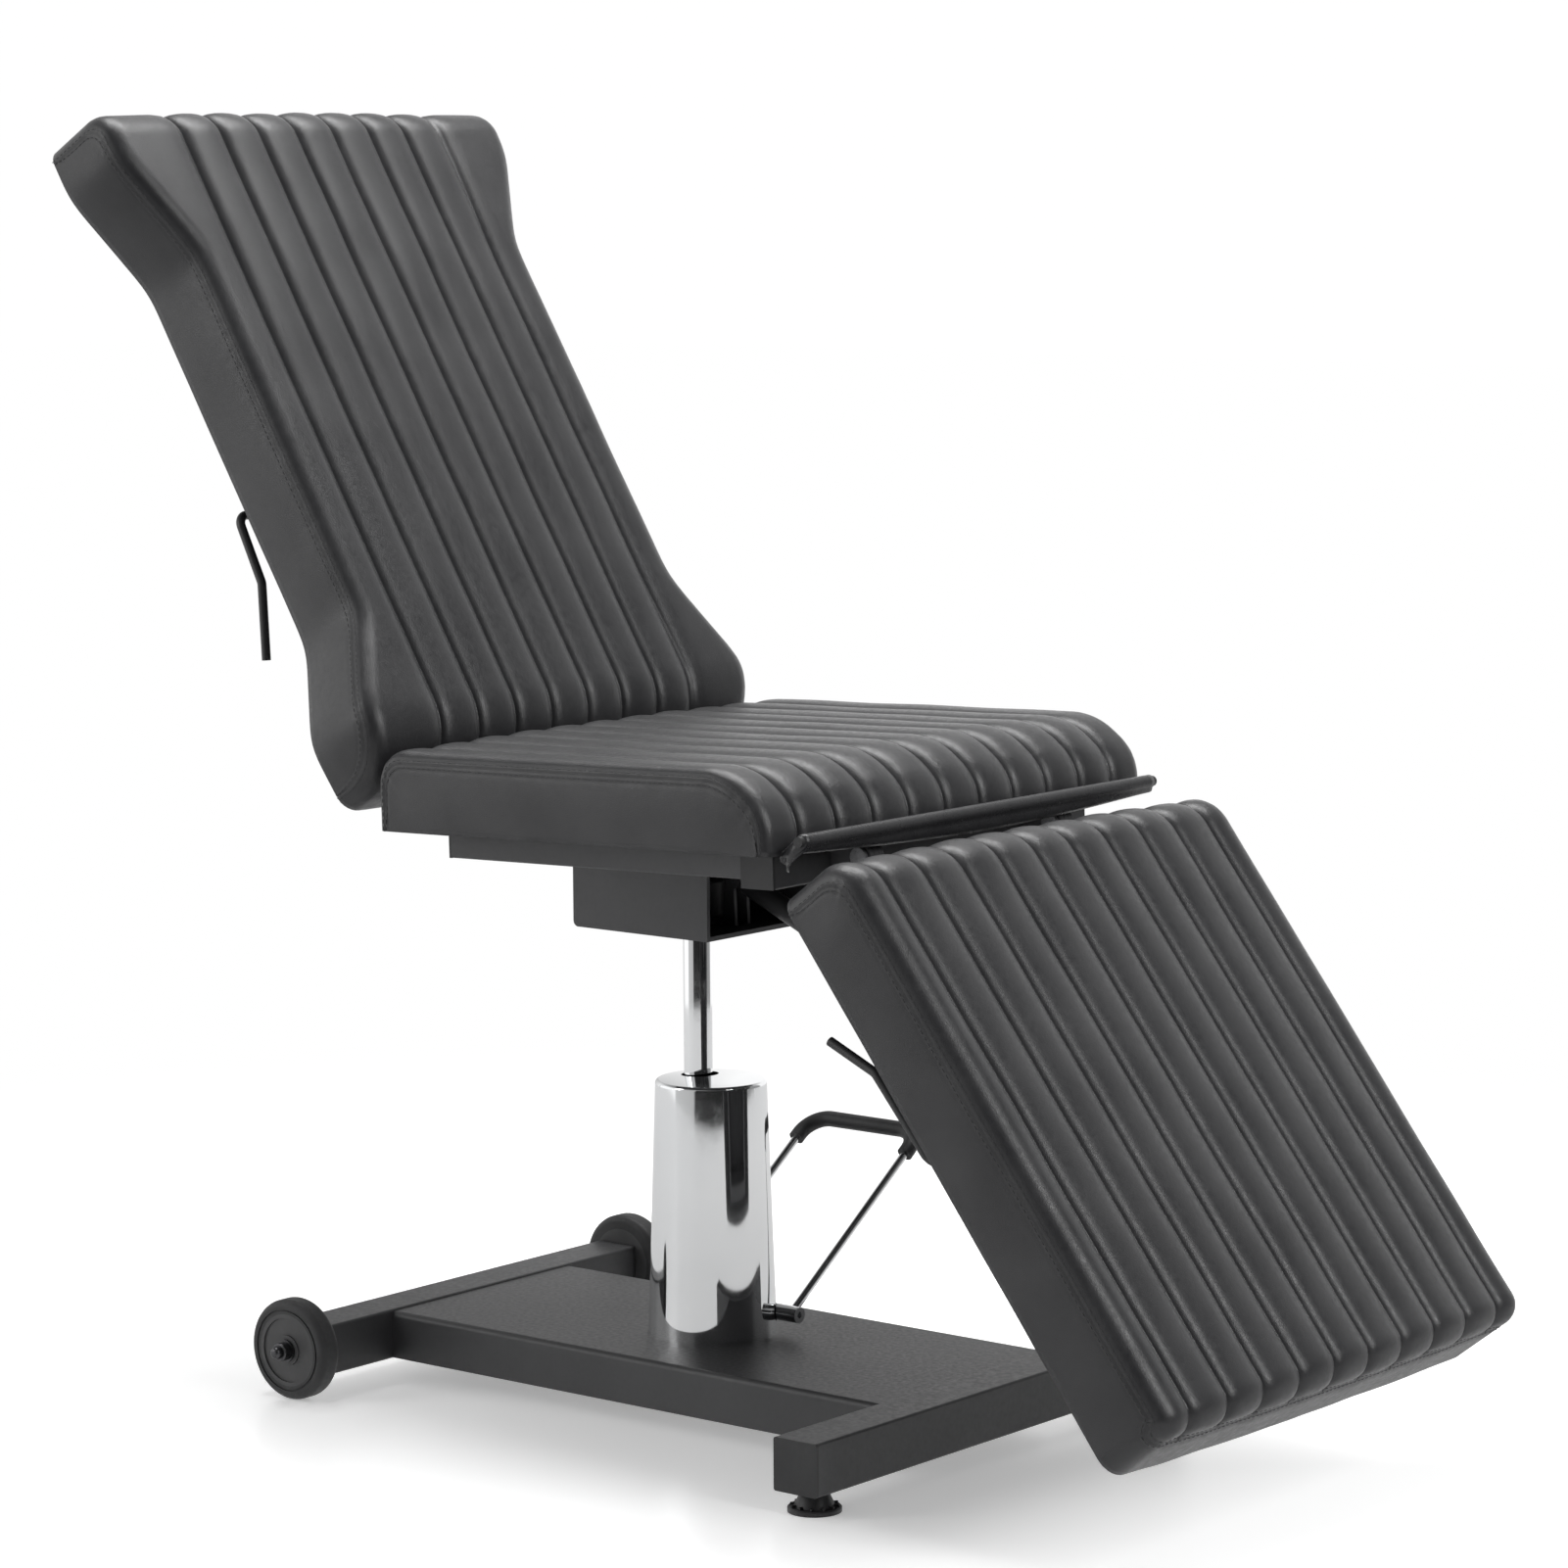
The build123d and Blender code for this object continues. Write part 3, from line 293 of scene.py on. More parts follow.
# ---------------------------------------------------------------- cushions
ROW_STEP = 5.0              # between rows along a cushion
CHANNEL_COLUMNS = (-1.0, -0.95, -0.86, -0.72, -0.54, -0.30, 0.0, 0.30, 0.54, 0.72, 0.86, 0.95)
OUTER_COLUMNS = (0.05, 0.14, 0.28, 0.46, 0.64, 0.82, 1.0)
EDGE_COLUMNS = (0.85, 0.7, 0.55, 0.42)      # parts of the rounded edge, above its seam
EDGE_SEAM_COLUMNS = (7.5, 4.5, 2.0)         # from the seam up the rounded edge
SEAM_COLUMNS = (2.0, 4.5, 7.5, 12.0, 18.0)  # from the seam down the side panel
SIDE_COLUMNS = 9
END_ROWS = [0.0, 2.0, 4.5, 7.5, 11.0]       # on both sides of a seam across the end
SEAM_TURN = 16.0            # radius on which the side seam turns across the end
SEAM_TURN_STEPS = 8
SEAM_STEP = 8.0             # between places on the seam across the end
FULL_SIDE = 30.0            # side panel height with room for all the seam columns

CROWN = 3.5                 # from the middle of a cushion down to its side edges
CROWN_CURVE = 2.5
CHANNEL_CURVE = ((0.42, 2.2), (0.58, 8))    # (share, power) of a channel's fall
BELLY = 2.0                 # outward swell of the side panels
BELLY_FADE = 45.0           # distance from the ends at which it is full
END_SEAM_PULL = 1.6         # how far the seam across the end draws the cover in
END_SEAM_REACH = 8.0
PADDING_WAVE = 0.9          # slow unevenness of the padding
PANEL_WAVE = 0.6            # and of the side panels
GATHERS = 0.42              # small waves along a seam
GATHERS_SLOW = 0.3
GATHERS_REACH = 9.0

RIM = 22.0                  # vinyl turned under the board
RIM_RISE = 1.3              # from the rim up to the dust cover
WELD = 0.05                 # points closer than this are one


def smooth(x):
    x = min(max(x, 0.0), 1.0)
    return x * x * (3 - 2 * x)


def straight_run(start, end):
    """Even points after start, up to and including end."""
    count = max(1, round((end - start).length / ROW_STEP))
    return [start.lerp(end, k / count) for k in range(1, count + 1)]


def rounded_path(corners):
    """Points along straight runs whose corners (u, h, radius) are arcs."""
    points = [Vector(corners[0][:2])]
    for before, corner, after in zip(corners, corners[1:], corners[2:]):
        here = Vector(corner[:2])
        a = (Vector(before[:2]) - here).normalized()
        b = (Vector(after[:2]) - here).normalized()
        half = a.angle(b) / 2
        radius = corner[2]
        start = here + a * radius / math.tan(half)
        end = here + b * radius / math.tan(half)
        centre = here + (a + b).normalized() * radius / math.sin(half)
        points += straight_run(points[-1], start)
        sweep = math.pi - 2 * half
        count = max(4, round(radius * sweep / ROW_STEP))
        u, v = start - centre, end - centre
        for k in range(1, count + 1):
            t = k / count
            arm = (u * math.sin((1 - t) * sweep) + v * math.sin(t * sweep)) / math.sin(sweep)
            points.append(centre + arm)
    return points + straight_run(points[-1], Vector(corners[-1][:2]))


class Cushion:
    """An upholstered block: a ribbed cover wrapped over a side profile, with side panels.

    The side profile runs from the base at one end, over the top, to the base at the other.
    Each point of it is a row; the columns run across, down both side panels.
    """

    def __init__(self, name, place, corners, half_width, lines, roll, end_seam=None, seed=1):
        self.name, self.place, self.half_width = name, place, half_width
        self.lines, self.roll, self.seed = lines, roll, seed
        self.edge_length = roll * math.pi / 2
        self.path = rounded_path(corners)
        if end_seam:
            self.path = self.with_end_seam(self.path, end_seam)
        self.rows = len(self.path)
        self.length = [0.0]
        for p, q in zip(self.path, self.path[1:]):
            self.length.append(self.length[-1] + (q - p).length)
        self.normals = []
        for i in range(self.rows):
            ahead = self.path[min(i + 1, self.rows - 1)] - self.path[max(i - 1, 0)]
            self.normals.append(Vector((-ahead.y, ahead.x)).normalized())
        self.seam_at = None
        if end_seam:
            seam = Vector((self.path[-1].x, end_seam))
            row = min(range(self.rows), key=lambda i: (self.path[i] - seam).length)
            self.seam_at = self.length[row]
        self.spacing = lines[1] - lines[0]
        self.build_columns()

    def with_end_seam(self, path, height):
        """Closer rows on the last wall, on both sides of a seam at this height."""
        wall = path[-1].x
        reach = END_ROWS[-1] + 1.5
        kept = [p for p in path if abs(p.x - wall) > 0.01 or abs(p.y - height) > reach]
        extra = [Vector((wall, height + d)) for d in END_ROWS + [-d for d in END_ROWS[1:]]]
        split = next(k for k, p in enumerate(kept) if abs(p.x - wall) < 0.01 and p.y < height)
        return kept[:split] + sorted(extra, key=lambda p: -p.y) + kept[split:]

    def build_columns(self):
        """Columns as (kind, value): across the top, round the edge, down the side."""
        inner = []
        for line in self.lines[:-1]:
            inner += [line + self.spacing * (c + 1) / 2 for c in CHANNEL_COLUMNS]
        inner.append(self.lines[-1])
        top = [("top", y) for y in inner]
        outer = [("outer", f) for f in OUTER_COLUMNS]
        edge = [("edge", f) for f in EDGE_COLUMNS]
        edge += [("edge", d / self.edge_length) for d in EDGE_SEAM_COLUMNS]
        edge.append(("seam", 0.0))
        side = [("side", d) for d in SEAM_COLUMNS]
        side += [("fall", (k + 1) / SIDE_COLUMNS) for k in range(SIDE_COLUMNS)]
        half = outer + edge + side
        near = [(kind, value, -1) for kind, value in reversed(half)]
        far = [(kind, value, 1) for kind, value in half]
        self.columns = near + [(kind, value, 0) for kind, value in top] + far

    def above_seam(self, i):
        """How far a row lies before the seam across the end."""
        return 1000.0 if self.seam_at is None else self.seam_at - self.length[i]

    def line_fade(self, i):
        """How deep the sewn lines are on a row, from 0 to 1."""
        ahead = self.above_seam(i)
        return 0.0 if ahead <= 0 else 0.5 * smooth(ahead / 30.0) + 0.5 * smooth(ahead / 12.0)

    def seam_distance(self, i, inward):
        """Distance to the cover's seam, which turns on an arc to run across the end."""
        ahead = self.above_seam(i)
        if inward < SEAM_TURN and ahead < SEAM_TURN:
            return SEAM_TURN - math.hypot(SEAM_TURN - inward, SEAM_TURN - ahead)
        return min(inward, ahead)

    def pillow(self, y):
        """Height below the crown of a channel at this place across."""
        first, last = self.lines[0], self.lines[-1]
        if y <= first or y >= last:
            away = min(abs(y - first), abs(y - last)) / (self.spacing / 2)
            t = max(0.0, 1.0 - away)
        else:
            t = abs(((y - first) / self.spacing) % 1.0 - 0.5) * 2
        (soft, soft_power), (sharp, sharp_power) = CHANNEL_CURVE
        return soft * t ** soft_power + sharp * t ** sharp_power

    def seam_shape(self, d):
        """Welt and stitch dips at a distance across a double seam."""
        a = abs(d)
        groove = -1.1 * math.exp(-(a / 1.1) ** 2)
        welt = 0.55 * math.exp(-((a - 2.4) / 1.4) ** 2)
        dip = -0.55 * math.exp(-((a - 4.5) / 1.3) ** 2)
        return groove + welt + dip

    def wander(self, i, y):
        """Slow unevenness of the padding."""
        return PADDING_WAVE * noise.noise(Vector((self.length[i] / 95.0, y / 60.0, self.seed)))

    def point(self, i, column):
        """A grid point as (along, across, off), before it is placed."""
        kind, value, side = column
        half = self.half_width(self.path[i].x)
        if kind == "top":
            return self.top_point(i, value, half)
        if kind == "outer":
            last = self.lines[-1]
            return self.top_point(i, side * (last + (half - self.roll - last) * value), half)
        if kind in ("edge", "seam"):
            return self.edge_point(i, value, side, half)
        return self.side_point(i, kind, value, side, half)

    def top_point(self, i, y, half):
        off = self.wander(i, y) - CROWN * (abs(y) / half) ** CROWN_CURVE
        off -= self.channel_depth * self.line_fade(i) * self.pillow(y)
        if self.seam_at is not None:
            off += self.seam_off(i, self.edge_length + (half - self.roll) - abs(y), y)
            off -= END_SEAM_PULL * math.exp(-(self.above_seam(i) / END_SEAM_REACH) ** 2)
        p = self.path[i] + self.normals[i] * off
        return p.x, y, p.y

    def edge_point(self, i, value, side, half):
        roll, flat = self.roll, half - self.roll
        drop = CROWN * (flat / half) ** CROWN_CURVE
        angle = (1 - value) * math.pi / 2
        off = self.seam_off(i, value * self.edge_length, side * flat) + self.wander(i, side * flat)
        inward = roll + (drop - roll - off) * math.cos(angle)
        p = self.path[i] - self.normals[i] * inward
        wide = self.half_width(p.x) - roll
        return p.x, side * (wide + (roll + off) * math.sin(angle)), p.y

    def side_point(self, i, kind, value, side, half):
        roll, flat = self.roll, half - self.roll
        seam = self.path[i] - self.normals[i] * roll
        base = self.base_point(i)
        fall = (base - seam).length
        direction = (base - seam).normalized() if fall > 0.01 else Vector((0, -1))
        if kind == "side":
            d = min(value, fall * value / FULL_SIDE)
        else:
            start = min(SEAM_COLUMNS[-1], fall * SEAM_COLUMNS[-1] / FULL_SIDE)
            d = start + (fall - start) * value
        share = d / fall if fall > 0.01 else 1.0
        p = seam + direction * d
        low, high = self.path[0].x + roll, self.path[-1].x - roll
        rise = min(max((p.y - base.y) / self.wall, 0.0), 1.0)
        ends = smooth((p.x - low) / BELLY_FADE) * smooth((high - p.x) / BELLY_FADE)
        off = self.seam_off(i, -d, 0.0) * smooth(fall / 20.0)
        off += self.wander(i, side * flat) * (1 - share)
        off += BELLY * math.sin(math.pi * rise) * ends
        off += PANEL_WAVE * noise.noise(Vector((p.x / 70.0, p.y / 40.0, self.seed + side)))
        return p.x, side * (self.half_width(p.x) + off), p.y

    def seam_off(self, i, inward, y):
        """Welt, stitch dips and gathers at a distance inward from the side seam."""
        d = self.seam_distance(i, inward)
        along = self.length[i] if d == inward or self.seam_at is None else y
        turn = 1.0
        if 0 < i < self.rows - 1:
            turn += 9.0 * min(0.35, self.normals[i - 1].angle(self.normals[i + 1]))
        ripple = noise.noise(Vector((along / 8.0, self.seed * 7.3, 0)))
        slow = noise.noise(Vector((along / 60.0, self.seed * 3.1, 5.0)))
        gathers = GATHERS * ripple * turn + GATHERS_SLOW * slow
        return self.seam_shape(d) + gathers * math.exp(-abs(d) / GATHERS_REACH)

    def base_point(self, i):
        """Where the side panel meets the base below a row."""
        t = self.length[i] / self.length[-1]
        first = self.path[0] - self.normals[0] * self.roll
        last = self.path[-1] - self.normals[-1] * self.roll
        return first.lerp(last, t)

    def build(self, channel_depth):
        self.channel_depth = channel_depth
        self.wall = max(p.y for p in self.path) - self.roll - self.path[0].y
        grid = [[self.point(i, c) for c in self.columns] for i in range(self.rows)]
        mesh = bpy.data.meshes.new(self.name)
        bm = bmesh.new()
        verts = [[bm.verts.new(self.place(*p)) for p in row] for row in grid]
        for i in range(self.rows - 1):
            for j in range(len(self.columns) - 1):
                bm.faces.new((verts[i][j], verts[i][j + 1], verts[i + 1][j + 1], verts[i + 1][j]))
        bmesh.ops.remove_doubles(bm, verts=bm.verts, dist=WELD * MM)
        self.close_base(bm)
        bmesh.ops.recalc_face_normals(bm, faces=bm.faces)
        bm.to_mesh(mesh)
        bm.free()
        smooth_faces(mesh)
        self.piece, self.grid = new_piece(mesh, vinyl, dust_cover), grid
        self.follow_mesh()
        return self.piece

    def close_base(self, bm):
        """Turns the cover under the board and closes it with the dust cover."""
        rim = [e for e in bm.edges if e.is_boundary]
        low, high = self.path[0].x, self.path[-1].x
        middle, reach = (low + high) / 2, (high - low) / 2
        origin = self.place(0, 0, 0)
        along = (self.place(1, 0, 0) - origin) / MM
        off = (self.place(0, 0, 1) - origin) / MM
        for inset, rise in ((RIM, 0.0), (1.0, RIM_RISE)):
            made = bmesh.ops.extrude_edge_only(bm, edges=rim)["geom"]
            rim = [g for g in made if isinstance(g, bmesh.types.BMEdge)]
            for v in {v for e in rim for v in e.verts}:
                p = (v.co - origin) / MM
                u, y, h = p.dot(along), p.y, p.dot(off)
                wide = self.half_width(u)
                new_u = middle + (u - middle) * (reach - inset) / reach
                v.co = self.place(new_u, y * (wide - inset) / wide, h + rise)
        base = bmesh.ops.contextual_create(bm, geom=rim)["faces"]
        for face in base:
            face.material_index = 1

    def follow_mesh(self):
        """Which mesh vertex stands for each grid point."""
        tree = kdtree.KDTree(len(self.piece.data.vertices))
        for v in self.piece.data.vertices:
            tree.insert(v.co, v.index)
        tree.balance()
        self.tree = tree
        self.index = [[tree.find(self.place(*p))[1] for p in row] for row in self.grid]

    def surface_line(self, column):
        """Points and outward normals down one column."""
        verts = [self.piece.data.vertices[row[column]] for row in self.index]
        return [(v.co.copy(), v.normal.copy()) for v in verts]

    def seam_line(self, offset):
        """Surface points beside the seam: down one side, across the end, up the other."""
        places = []
        for i in range(self.rows):
            if self.above_seam(i) > SEAM_TURN:
                places.append((self.length[i], offset))
        radius = SEAM_TURN - offset
        for k in range(SEAM_TURN_STEPS + 1):
            a = math.pi / 2 * k / SEAM_TURN_STEPS
            ahead = SEAM_TURN - radius * math.sin(a)
            places.append((self.seam_at - ahead, SEAM_TURN - radius * math.cos(a)))
        flat = self.half_width(self.path[-1].x) - self.roll
        y = flat + self.edge_length - SEAM_TURN
        while y > 0:
            places.append((self.seam_at - offset, self.edge_length + flat - y))
            y -= SEAM_STEP
        near = [self.at(along, inward, -1) for along, inward in places]
        far = [self.at(along, inward, 1) for along, inward in places]
        return near + far[::-1]

    def at(self, along, inward, side):
        """The surface at a length along the profile and a distance from the side seam."""
        i = max(k for k in range(self.rows - 1) if self.length[k] <= along + 1e-6)
        t = (along - self.length[i]) / (self.length[i + 1] - self.length[i])
        spots = []
        for row in (i, i + 1):
            if inward < 0:
                column = ("side", -inward, side)
            elif inward <= self.edge_length:
                column = ("edge", inward / self.edge_length, side)
            else:
                half = self.half_width(self.path[row].x)
                column = ("top", side * (half - self.roll + self.edge_length - inward), side)
            spots.append(self.place(*self.point(row, column)))
        spot = spots[0].lerp(spots[1], t)
        return spot, self.piece.data.vertices[self.tree.find(spot)[1]].normal.copy()

    def column_of(self, kind, value, side):
        """Which column of the grid this is."""
        for k, column in enumerate(self.columns):
            if column[0] == kind and abs(column[1] - value) < 1e-6 and column[2] == side:
                return k
        raise ValueError(kind)


# ---------------------------------------------------------------- stitches
STITCH_PITCH = 6.5
STITCH_START = 3.0          # from the end of a line to its first stitch
STITCH_LENGTH = 5.0
STITCH_RADIUS = 0.42
STITCH_SIDES = 5
STITCH_OFFSET = 4.5         # from a seam to the stitches on each side of it
STITCH_RINGS = (            # (along, radius, lift), as parts of the length and radius
    (-0.5, 0.25, -0.5), (-0.36, 0.85, 0.35), (0.0, 1.0, 0.8), (0.36, 0.85, 0.35), (0.5, 0.25, -0.5),
)


def run_along(points, pitch, skip):
    """Evenly spaced (place, direction, normal) along a line of surface points."""
    out, travelled, due = [], 0.0, skip
    for (p, n), (q, m) in zip(points, points[1:]):
        step = (q - p).length
        while step > 0 and due <= travelled + step:
            t = (due - travelled) / step
            out.append((p.lerp(q, t), (q - p).normalized(), n.lerp(m, t).normalized()))
            due += pitch
        travelled += step
    return out


def sew(name, body, runs):
    """Thread along several surface lines, as one piece of many short stitches."""
    verts, faces = [], []
    for points in runs:
        for place, along, normal in run_along(points, STITCH_PITCH * MM, STITCH_START * MM):
            across = along.cross(normal).normalized()
            up = across.cross(along).normalized()
            first = len(verts)
            for t, size, lift in STITCH_RINGS:
                middle = place + along * t * STITCH_LENGTH * MM + up * lift * STITCH_RADIUS * MM
                for k in range(STITCH_SIDES):
                    a = 2 * math.pi * k / STITCH_SIDES
                    arm = across * math.cos(a) + up * math.sin(a)
                    verts.append(middle + arm * (size * STITCH_RADIUS * MM))
            end = len(verts) - STITCH_SIDES
            for ring in range(first, end, STITCH_SIDES):
                for k in range(STITCH_SIDES):
                    a, b = ring + k, ring + (k + 1) % STITCH_SIDES
                    faces.append((a, b, b + STITCH_SIDES, a + STITCH_SIDES))
            faces.append(tuple(first + k for k in reversed(range(STITCH_SIDES))))
            faces.append(tuple(end + k for k in range(STITCH_SIDES)))
    mesh = bpy.data.meshes.new(name)
    mesh.from_pydata(verts, [], faces)
    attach(new_piece(mesh, thread), body)


# ---------------------------------------------------------------- the three pads
STRAIGHT_HALF_WIDTH = 290.0
BACK_OUTLINE = (            # (height above the hinge, half width)
    (-200, 276), (15, 276), (90, 283), (190, 233), (592, 233), (698, 283), (900, 283),
)
OUTLINE_STEP = 7.5          # the outline's corners are eased over four steps each way
OUTLINE_SPREAD = 2.6        # in steps


def sharp_half_width(s):
    """The backrest's outline with its corners left sharp."""
    for (a, near), (b, far) in zip(BACK_OUTLINE, BACK_OUTLINE[1:]):
        if a <= s <= b:
            return near + (far - near) * (s - a) / (b - a)
    raise ValueError(s)


def back_half_width(s):
    """Half the width of the backrest's outline at a height above its hinge."""
    total, weight = 0.0, 0.0
    for k in range(-4, 5):
        share = math.exp(-(k / OUTLINE_SPREAD) ** 2)
        total += sharp_half_width(s + k * OUTLINE_STEP) * share
        weight += share
    return total / weight


def straight_half_width(_):
    return STRAIGHT_HALF_WIDTH


def line_places(count, spacing):
    """Places across a cushion of its sewn lines."""
    return [spacing * (k - (count - 1) / 2) for k in range(count)]


def body_part(pad, part):
    """The name of another part of the same pad."""
    return pad.name.replace("upholstery", part)


def seam_runs(pad):
    """Surface lines for the stitches on both sides of a pad's seams."""
    if pad.seam_at is not None:
        return [pad.seam_line(STITCH_OFFSET), pad.seam_line(-STITCH_OFFSET)]
    runs = []
    for side in (-1, 1):
        edge = STITCH_OFFSET / pad.edge_length
        runs.append(pad.surface_line(pad.column_of("edge", edge, side)))
        runs.append(pad.surface_line(pad.column_of("side", STITCH_OFFSET, side)))
    return runs


# Profiles as (along, off, corner radius), from the base at one end to the other.
seat_pad = Cushion(
    "seat_upholstery", seat_place,
    [(-155, -1, 0), (-155, 79, 36), (282, 80, 80), (330, 41, 55), (330, -1, 0)],
    straight_half_width, line_places(10, 53.5), 15.0, seed=1,
)
back_pad = Cushion(
    "back_upholstery", back_place,
    [(15, -21, 0), (15, 70, 76), (760, 71, 38), (760, -21, 0)],
    back_half_width, line_places(8, 53.0), 20.0, seed=2,
)
leg_pad = Cushion(
    "leg_upholstery", leg_place,
    [(23, -2, 0), (23, 87, 44), (621, 88, 24), (621, -2, 0)],
    straight_half_width, line_places(10, 55.5), 22.0, end_seam=52.0, seed=3,
)

for pad, body, channel_depth in (
    (seat_pad, "seat", 8.0), (back_pad, "backrest", 8.5), (leg_pad, "leg_rest", 8.5),
):
    piece = pad.build(channel_depth)
    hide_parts(body_part(pad, "cushion"), body_part(pad, "board"))
    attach(piece, body)
    last_row = sum(1 for i in range(pad.rows) if pad.above_seam(i) > 0)
    columns = [pad.column_of("top", line, 0) for line in pad.lines]
    lines = [pad.surface_line(column)[:last_row] for column in columns]
    sew(body_part(pad, "stitching"), body, lines + seam_runs(pad))


# ---------------------------------------------------------------- gap cover
# Points here are (x, height).
ROD = Vector((349.0, 611.0))
ROD_REACH = 268.0           # half the length of the flap over its rod
FLAP_GRIP = 6.1             # flap's middle to the rod's axis
FLAP_THICKNESS = 1.2
FLAP_START = (326.2, 599.8)                     # against the seat's front
FLAP_RISE = ((331.0, 603.2), (338.0, 609.0))    # up to the rod
FLAP_WRAP = (125, -60)                          # degrees around the rod
FLAP_WRAP_STEP = 15
FLAP_LIP = ((2.5, 0.4, 1), (5.0, 1.2, 1), (7.5, 2.6, 0), (10.0, 4.6, 0))    # (down, back, loose)
FLAP_STEPS = 110            # along the rod
FULLNESS = 0.8              # slack of the vinyl between seat and rod
LIP_SAG = 3.5               # how much lower the lip hangs in the middle
LIP_AT_ENDS = 0.45          # width of the lip at the ends, where 1 is the middle
TUCK = Vector((327.0, 588.5))
TUCK_FOLDS = ((0.16, -1.5), (0.42, -3.2), (0.68, -3.0), (0.88, 0.5), (1.0, 6.0))    # (pull, along)


def around_rod(degrees):
    a = math.radians(degrees)
    return ROD + Vector((math.cos(a), math.sin(a))) * FLAP_GRIP


def flap_section(fullness):
    """The flap's side profile: from the seat's front, over the rod, and down behind it."""
    points = [Vector(FLAP_START)]
    points += [Vector((x, h - fullness)) for x, h in FLAP_RISE]
    first, last = FLAP_WRAP
    points += [around_rod(degrees) for degrees in range(first, last - 1, -FLAP_WRAP_STEP)]
    for down, back, loose in FLAP_LIP:
        points.append(around_rod(last) + Vector((-(back - loose * fullness), -down)))
    return points


def hanging_row(y):
    """The flap across at one place along the rod, with its lip hanging free."""
    fullness = FULLNESS * noise.noise(Vector((y / 60.0, 2.0, 0)))
    middle = math.cos(math.pi * y / (2 * ROD_REACH))
    sag, width = LIP_SAG * middle, LIP_AT_ENDS + (1 - LIP_AT_ENDS) * middle
    section = flap_section(fullness)
    lip_start = len(section) - len(FLAP_LIP) - 1
    row = []
    for n, p in enumerate(section):
        hang = max(0.0, (n - lip_start) / len(FLAP_LIP))
        drop = (p.y - ROD.y + FLAP_GRIP) * hang * (1 - width)
        row.append((p.x + 0.6 * sag * hang, y, p.y - sag * hang - drop))
    return row


def tucked_row(edge, pull, along):
    """The flap's near end drawn together and pulled in under the seat."""
    row = []
    for n, (x, _, z) in enumerate(edge):
        p = Vector((x, z)).lerp(TUCK + Vector((0.1 * n, -0.4 * n)), pull)
        fold = 0.4 * math.sin(n * 0.6) * math.sin(math.pi * pull)
        row.append((p.x, -ROD_REACH + along + fold, p.y))
    return row


def gap_vinyl():
    """One soft strip of vinyl over the rod."""
    places = [ROD_REACH - 2 * ROD_REACH * k / FLAP_STEPS for k in range(FLAP_STEPS + 1)]
    rows = [hanging_row(y) for y in places]
    rows += [tucked_row(rows[FLAP_STEPS], pull, along) for pull, along in TUCK_FOLDS]
    mesh = bpy.data.meshes.new("gap_vinyl")
    bm = bmesh.new()
    grid = [[bm.verts.new(Vector(p) * MM) for p in row] for row in rows]
    for a, b in zip(grid, grid[1:]):
        for k in range(len(a) - 1):
            bm.faces.new((a[k], a[k + 1], b[k + 1], b[k]))
    bmesh.ops.recalc_face_normals(bm, faces=bm.faces)
    bm.to_mesh(mesh)
    bm.free()
    smooth_faces(mesh)
    piece = new_piece(mesh, flap_vinyl)
    skin = piece.modifiers.new("thickness", "SOLIDIFY")
    skin.thickness = FLAP_THICKNESS * MM
    skin.offset = 0.0
    for other in bpy.context.selected_objects:
        other.select_set(False)
    bpy.context.view_layer.objects.active = piece
    piece.select_set(True)
    bpy.ops.object.modifier_apply(modifier="thickness")
    return piece


flap = gap_vinyl()
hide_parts("gap_flap")
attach(flap, "gap_cover")
section = flap_section(0)


# ---------------------------------------------------------------- studio
FLOOR_TONE = 0.93
FLOOR_GLOW = 0.33
FLOOR_FADE = (0.6, 2.0)     # metres from the middle over which it turns to pure light
MIRROR_RADIUS = 2.3         # floor as reflections see it, in metres
MIRROR_TONE = 0.80
BACKDROP_RADIUS = 30.0
ROOM_WALLS = (              # (bearing in degrees from +X, brightness): dark, with lit walls
    (-180, 0.50), (-174, 1.2), (-130, 1.2), (-126, 0.60), (-86, 0.50), (-82, 0.02),
    (20, 0.015), (24, 0.25), (68, 0.34), (74, 1.1), (128, 1.1), (136, 0.55), (180, 0.55),
)
ROOM_CEILING = 0.28
CEILING_FADE = (0.35, 0.75)     # height of a direction over which wall turns to ceiling
LIGHT_TARGET = (0.15, 0.0, 0.6)


def smooth_share(nodes, links, value, low, high):
    """A node value from 0 to 1, eased, as another goes from low to high."""
    node = nodes.new("ShaderNodeMapRange")
    node.interpolation_type = "SMOOTHSTEP"
    node.inputs["From Min"].default_value = low
    node.inputs["From Max"].default_value = high
    links.new(value, node.inputs["Value"])
    return node.outputs["Result"]


def box_light(name, place, size, power):
    light = bpy.data.lights.new(name, "AREA")
    light.shape = "RECTANGLE"
    light.size, light.size_y = size
    light.energy = power
    lamp = bpy.data.objects.new(name, light)
    lamp.location = place
    aim = Vector(LIGHT_TARGET) - Vector(place)
    lamp.rotation_euler = aim.to_track_quat("-Z", "Y").to_euler()
    bpy.context.scene.collection.objects.link(lamp)


def stage_piece(name, paint, hidden_from):
    """Names and paints the mesh just added, and hides it from some kinds of ray."""
    piece = bpy.context.object
    piece.name = name
    piece.data.materials.append(paint.mat)
    for ray in hidden_from:
        setattr(piece, "visible_" + ray, False)


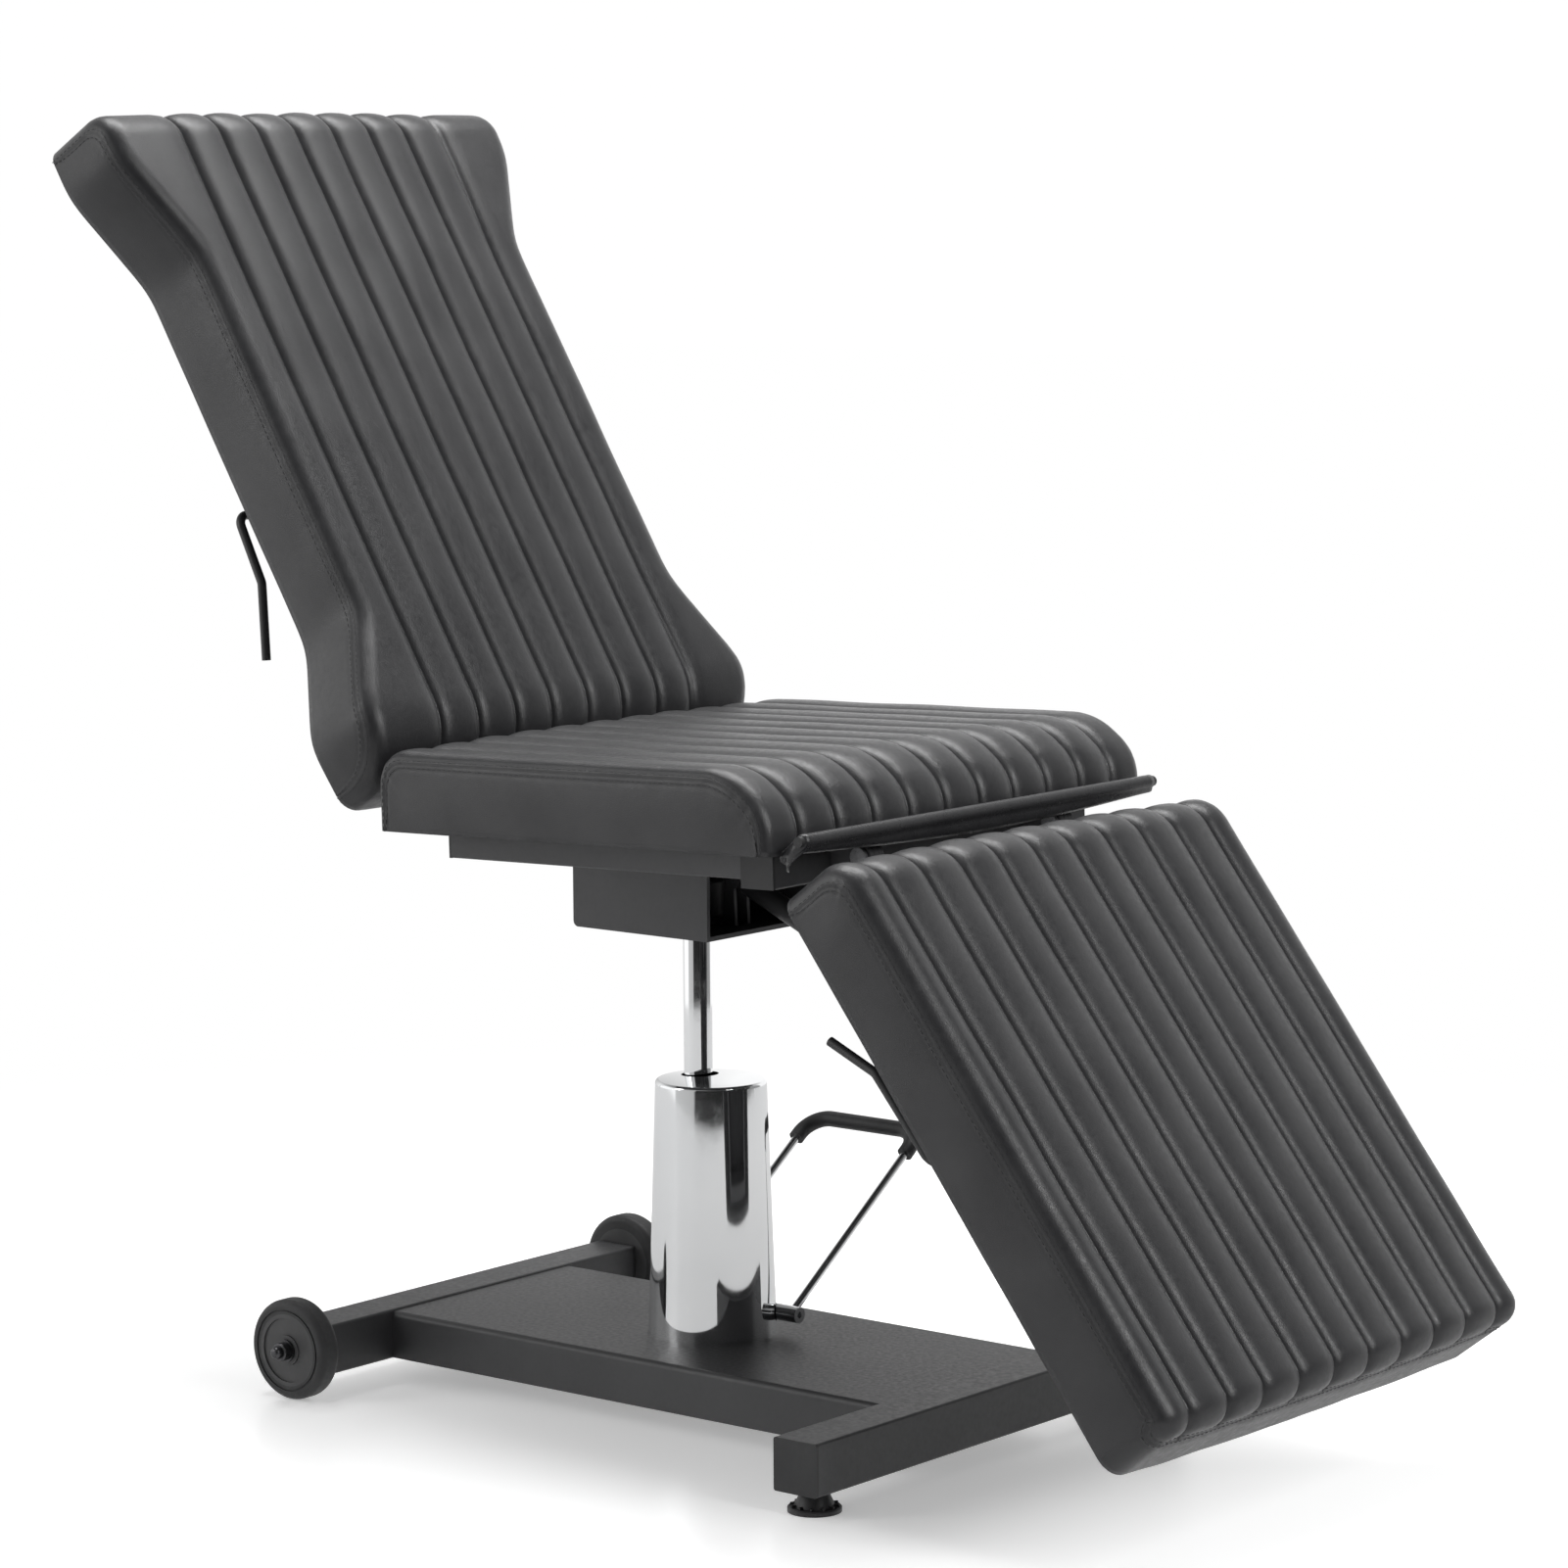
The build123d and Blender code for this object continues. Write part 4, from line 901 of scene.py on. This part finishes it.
def soft_floor(name):
    """A white floor that glows evenly further out, so that it has no horizon."""
    bpy.ops.mesh.primitive_plane_add(size=40.0, location=(0, 0, 0))
    paint = Paint(name, (FLOOR_TONE, FLOOR_TONE, FLOOR_TONE), 0.28)
    away = paint.nodes.new("ShaderNodeVectorMath")
    away.operation = "LENGTH"
    paint.links.new(paint.coords, away.inputs[0])
    share = smooth_share(paint.nodes, paint.links, away.outputs["Value"], *FLOOR_FADE)
    glow = paint.nodes.new("ShaderNodeEmission")
    join = paint.nodes.new("ShaderNodeMixShader")
    paint.links.new(share, join.inputs[0])
    paint.links.new(paint.shader.outputs[0], join.inputs[1])
    paint.links.new(glow.outputs[0], join.inputs[2])
    paint.links.new(join.outputs[0], paint.nodes["Material Output"].inputs["Surface"])
    paint.set(Emission_Color=(1, 1, 1, 1), Emission_Strength=FLOOR_GLOW)
    stage_piece(name, paint, ["glossy"])


def floor_in_reflections(name):
    """A plain disc that only shows in the chrome."""
    bpy.ops.mesh.primitive_circle_add(
        vertices=64, radius=MIRROR_RADIUS, fill_type="NGON", location=(0, 0, -0.0005)
    )
    paint = Paint(name, (MIRROR_TONE, MIRROR_TONE, MIRROR_TONE), 0.6)
    stage_piece(name, paint, ["camera", "diffuse", "shadow"])


def white_backdrop(name):
    """A white sphere that only the camera sees."""
    bpy.ops.mesh.primitive_uv_sphere_add(segments=48, ring_count=24, radius=BACKDROP_RADIUS)
    paint = Paint(name, (0.0, 0.0, 0.0), 1.0)
    paint.set(Emission_Color=(1, 1, 1, 1), Emission_Strength=1.0)
    stage_piece(name, paint, ["diffuse", "glossy", "shadow"])


def room_around(name):
    """The light from the room: walls by bearing, under an even ceiling."""
    world = bpy.data.worlds.new(name)
    world.use_nodes = True
    nodes, links = world.node_tree.nodes, world.node_tree.links
    direction = nodes.new("ShaderNodeTexCoord").outputs["Generated"]
    split = nodes.new("ShaderNodeSeparateXYZ")
    links.new(direction, split.inputs[0])
    bearing = nodes.new("ShaderNodeMath")
    bearing.operation = "ARCTAN2"
    links.new(split.outputs["Y"], bearing.inputs[0])
    links.new(split.outputs["X"], bearing.inputs[1])
    turn = nodes.new("ShaderNodeMapRange")
    turn.inputs["From Min"].default_value = -math.pi
    turn.inputs["From Max"].default_value = math.pi
    links.new(bearing.outputs[0], turn.inputs["Value"])
    walls = nodes.new("ShaderNodeValToRGB")
    stops = walls.color_ramp.elements
    for k, (degrees, brightness) in enumerate(ROOM_WALLS):
        position = (degrees + 180) / 360
        stop = stops[0] if k == 0 else stops.new(position)
        stop.position = position
        stop.color = (brightness, brightness, brightness, 1)
    links.new(turn.outputs["Result"], walls.inputs["Fac"])
    tone = nodes.new("ShaderNodeMix")
    tone.data_type = "RGBA"
    tone.inputs["B"].default_value = (ROOM_CEILING, ROOM_CEILING, ROOM_CEILING, 1)
    overhead = smooth_share(nodes, links, split.outputs["Z"], *CEILING_FADE)
    links.new(overhead, tone.inputs["Factor"])
    links.new(walls.outputs["Color"], tone.inputs["A"])
    links.new(tone.outputs["Result"], nodes["Background"].inputs["Color"])
    return world


soft_floor("studio_floor")
floor_in_reflections("floor_in_reflections")
white_backdrop("white_backdrop")
bpy.context.scene.world = room_around("studio")
box_light("top_softbox", (-0.3, 0.6, 3.4), (2.6, 1.6), 115)
box_light("left_softbox", (-2.2, -3.2, 2.2), (1.0, 2.2), 28)
box_light("right_softbox", (3.6, -0.2, 2.4), (1.0, 2.4), 75)

# ---------------------------------------------------------------- camera
CAMERA_PLACE = (3.1772, -3.7617, 1.2314)
CAMERA_YAW = 39.19          # degrees, as are the next two
CAMERA_DROP = 7.207
CAMERA_ROLL = 0.32
CAMERA_LENS = 117.07
camera = bpy.data.cameras.new("camera")
camera.lens = CAMERA_LENS
camera.sensor_width = 36.0
camera.clip_end = 100.0
view = bpy.data.objects.new("camera", camera)
view.location = CAMERA_PLACE
view.rotation_mode = "XYZ"
turn = (
    Matrix.Rotation(math.radians(CAMERA_YAW), 3, "Z")
    @ Matrix.Rotation(math.radians(90 - CAMERA_DROP), 3, "X")
    @ Matrix.Rotation(math.radians(-CAMERA_ROLL), 3, "Z")
)
view.rotation_euler = turn.to_euler()
bpy.context.scene.collection.objects.link(view)
bpy.context.scene.camera = view
bpy.context.scene.view_settings.view_transform = "Standard"
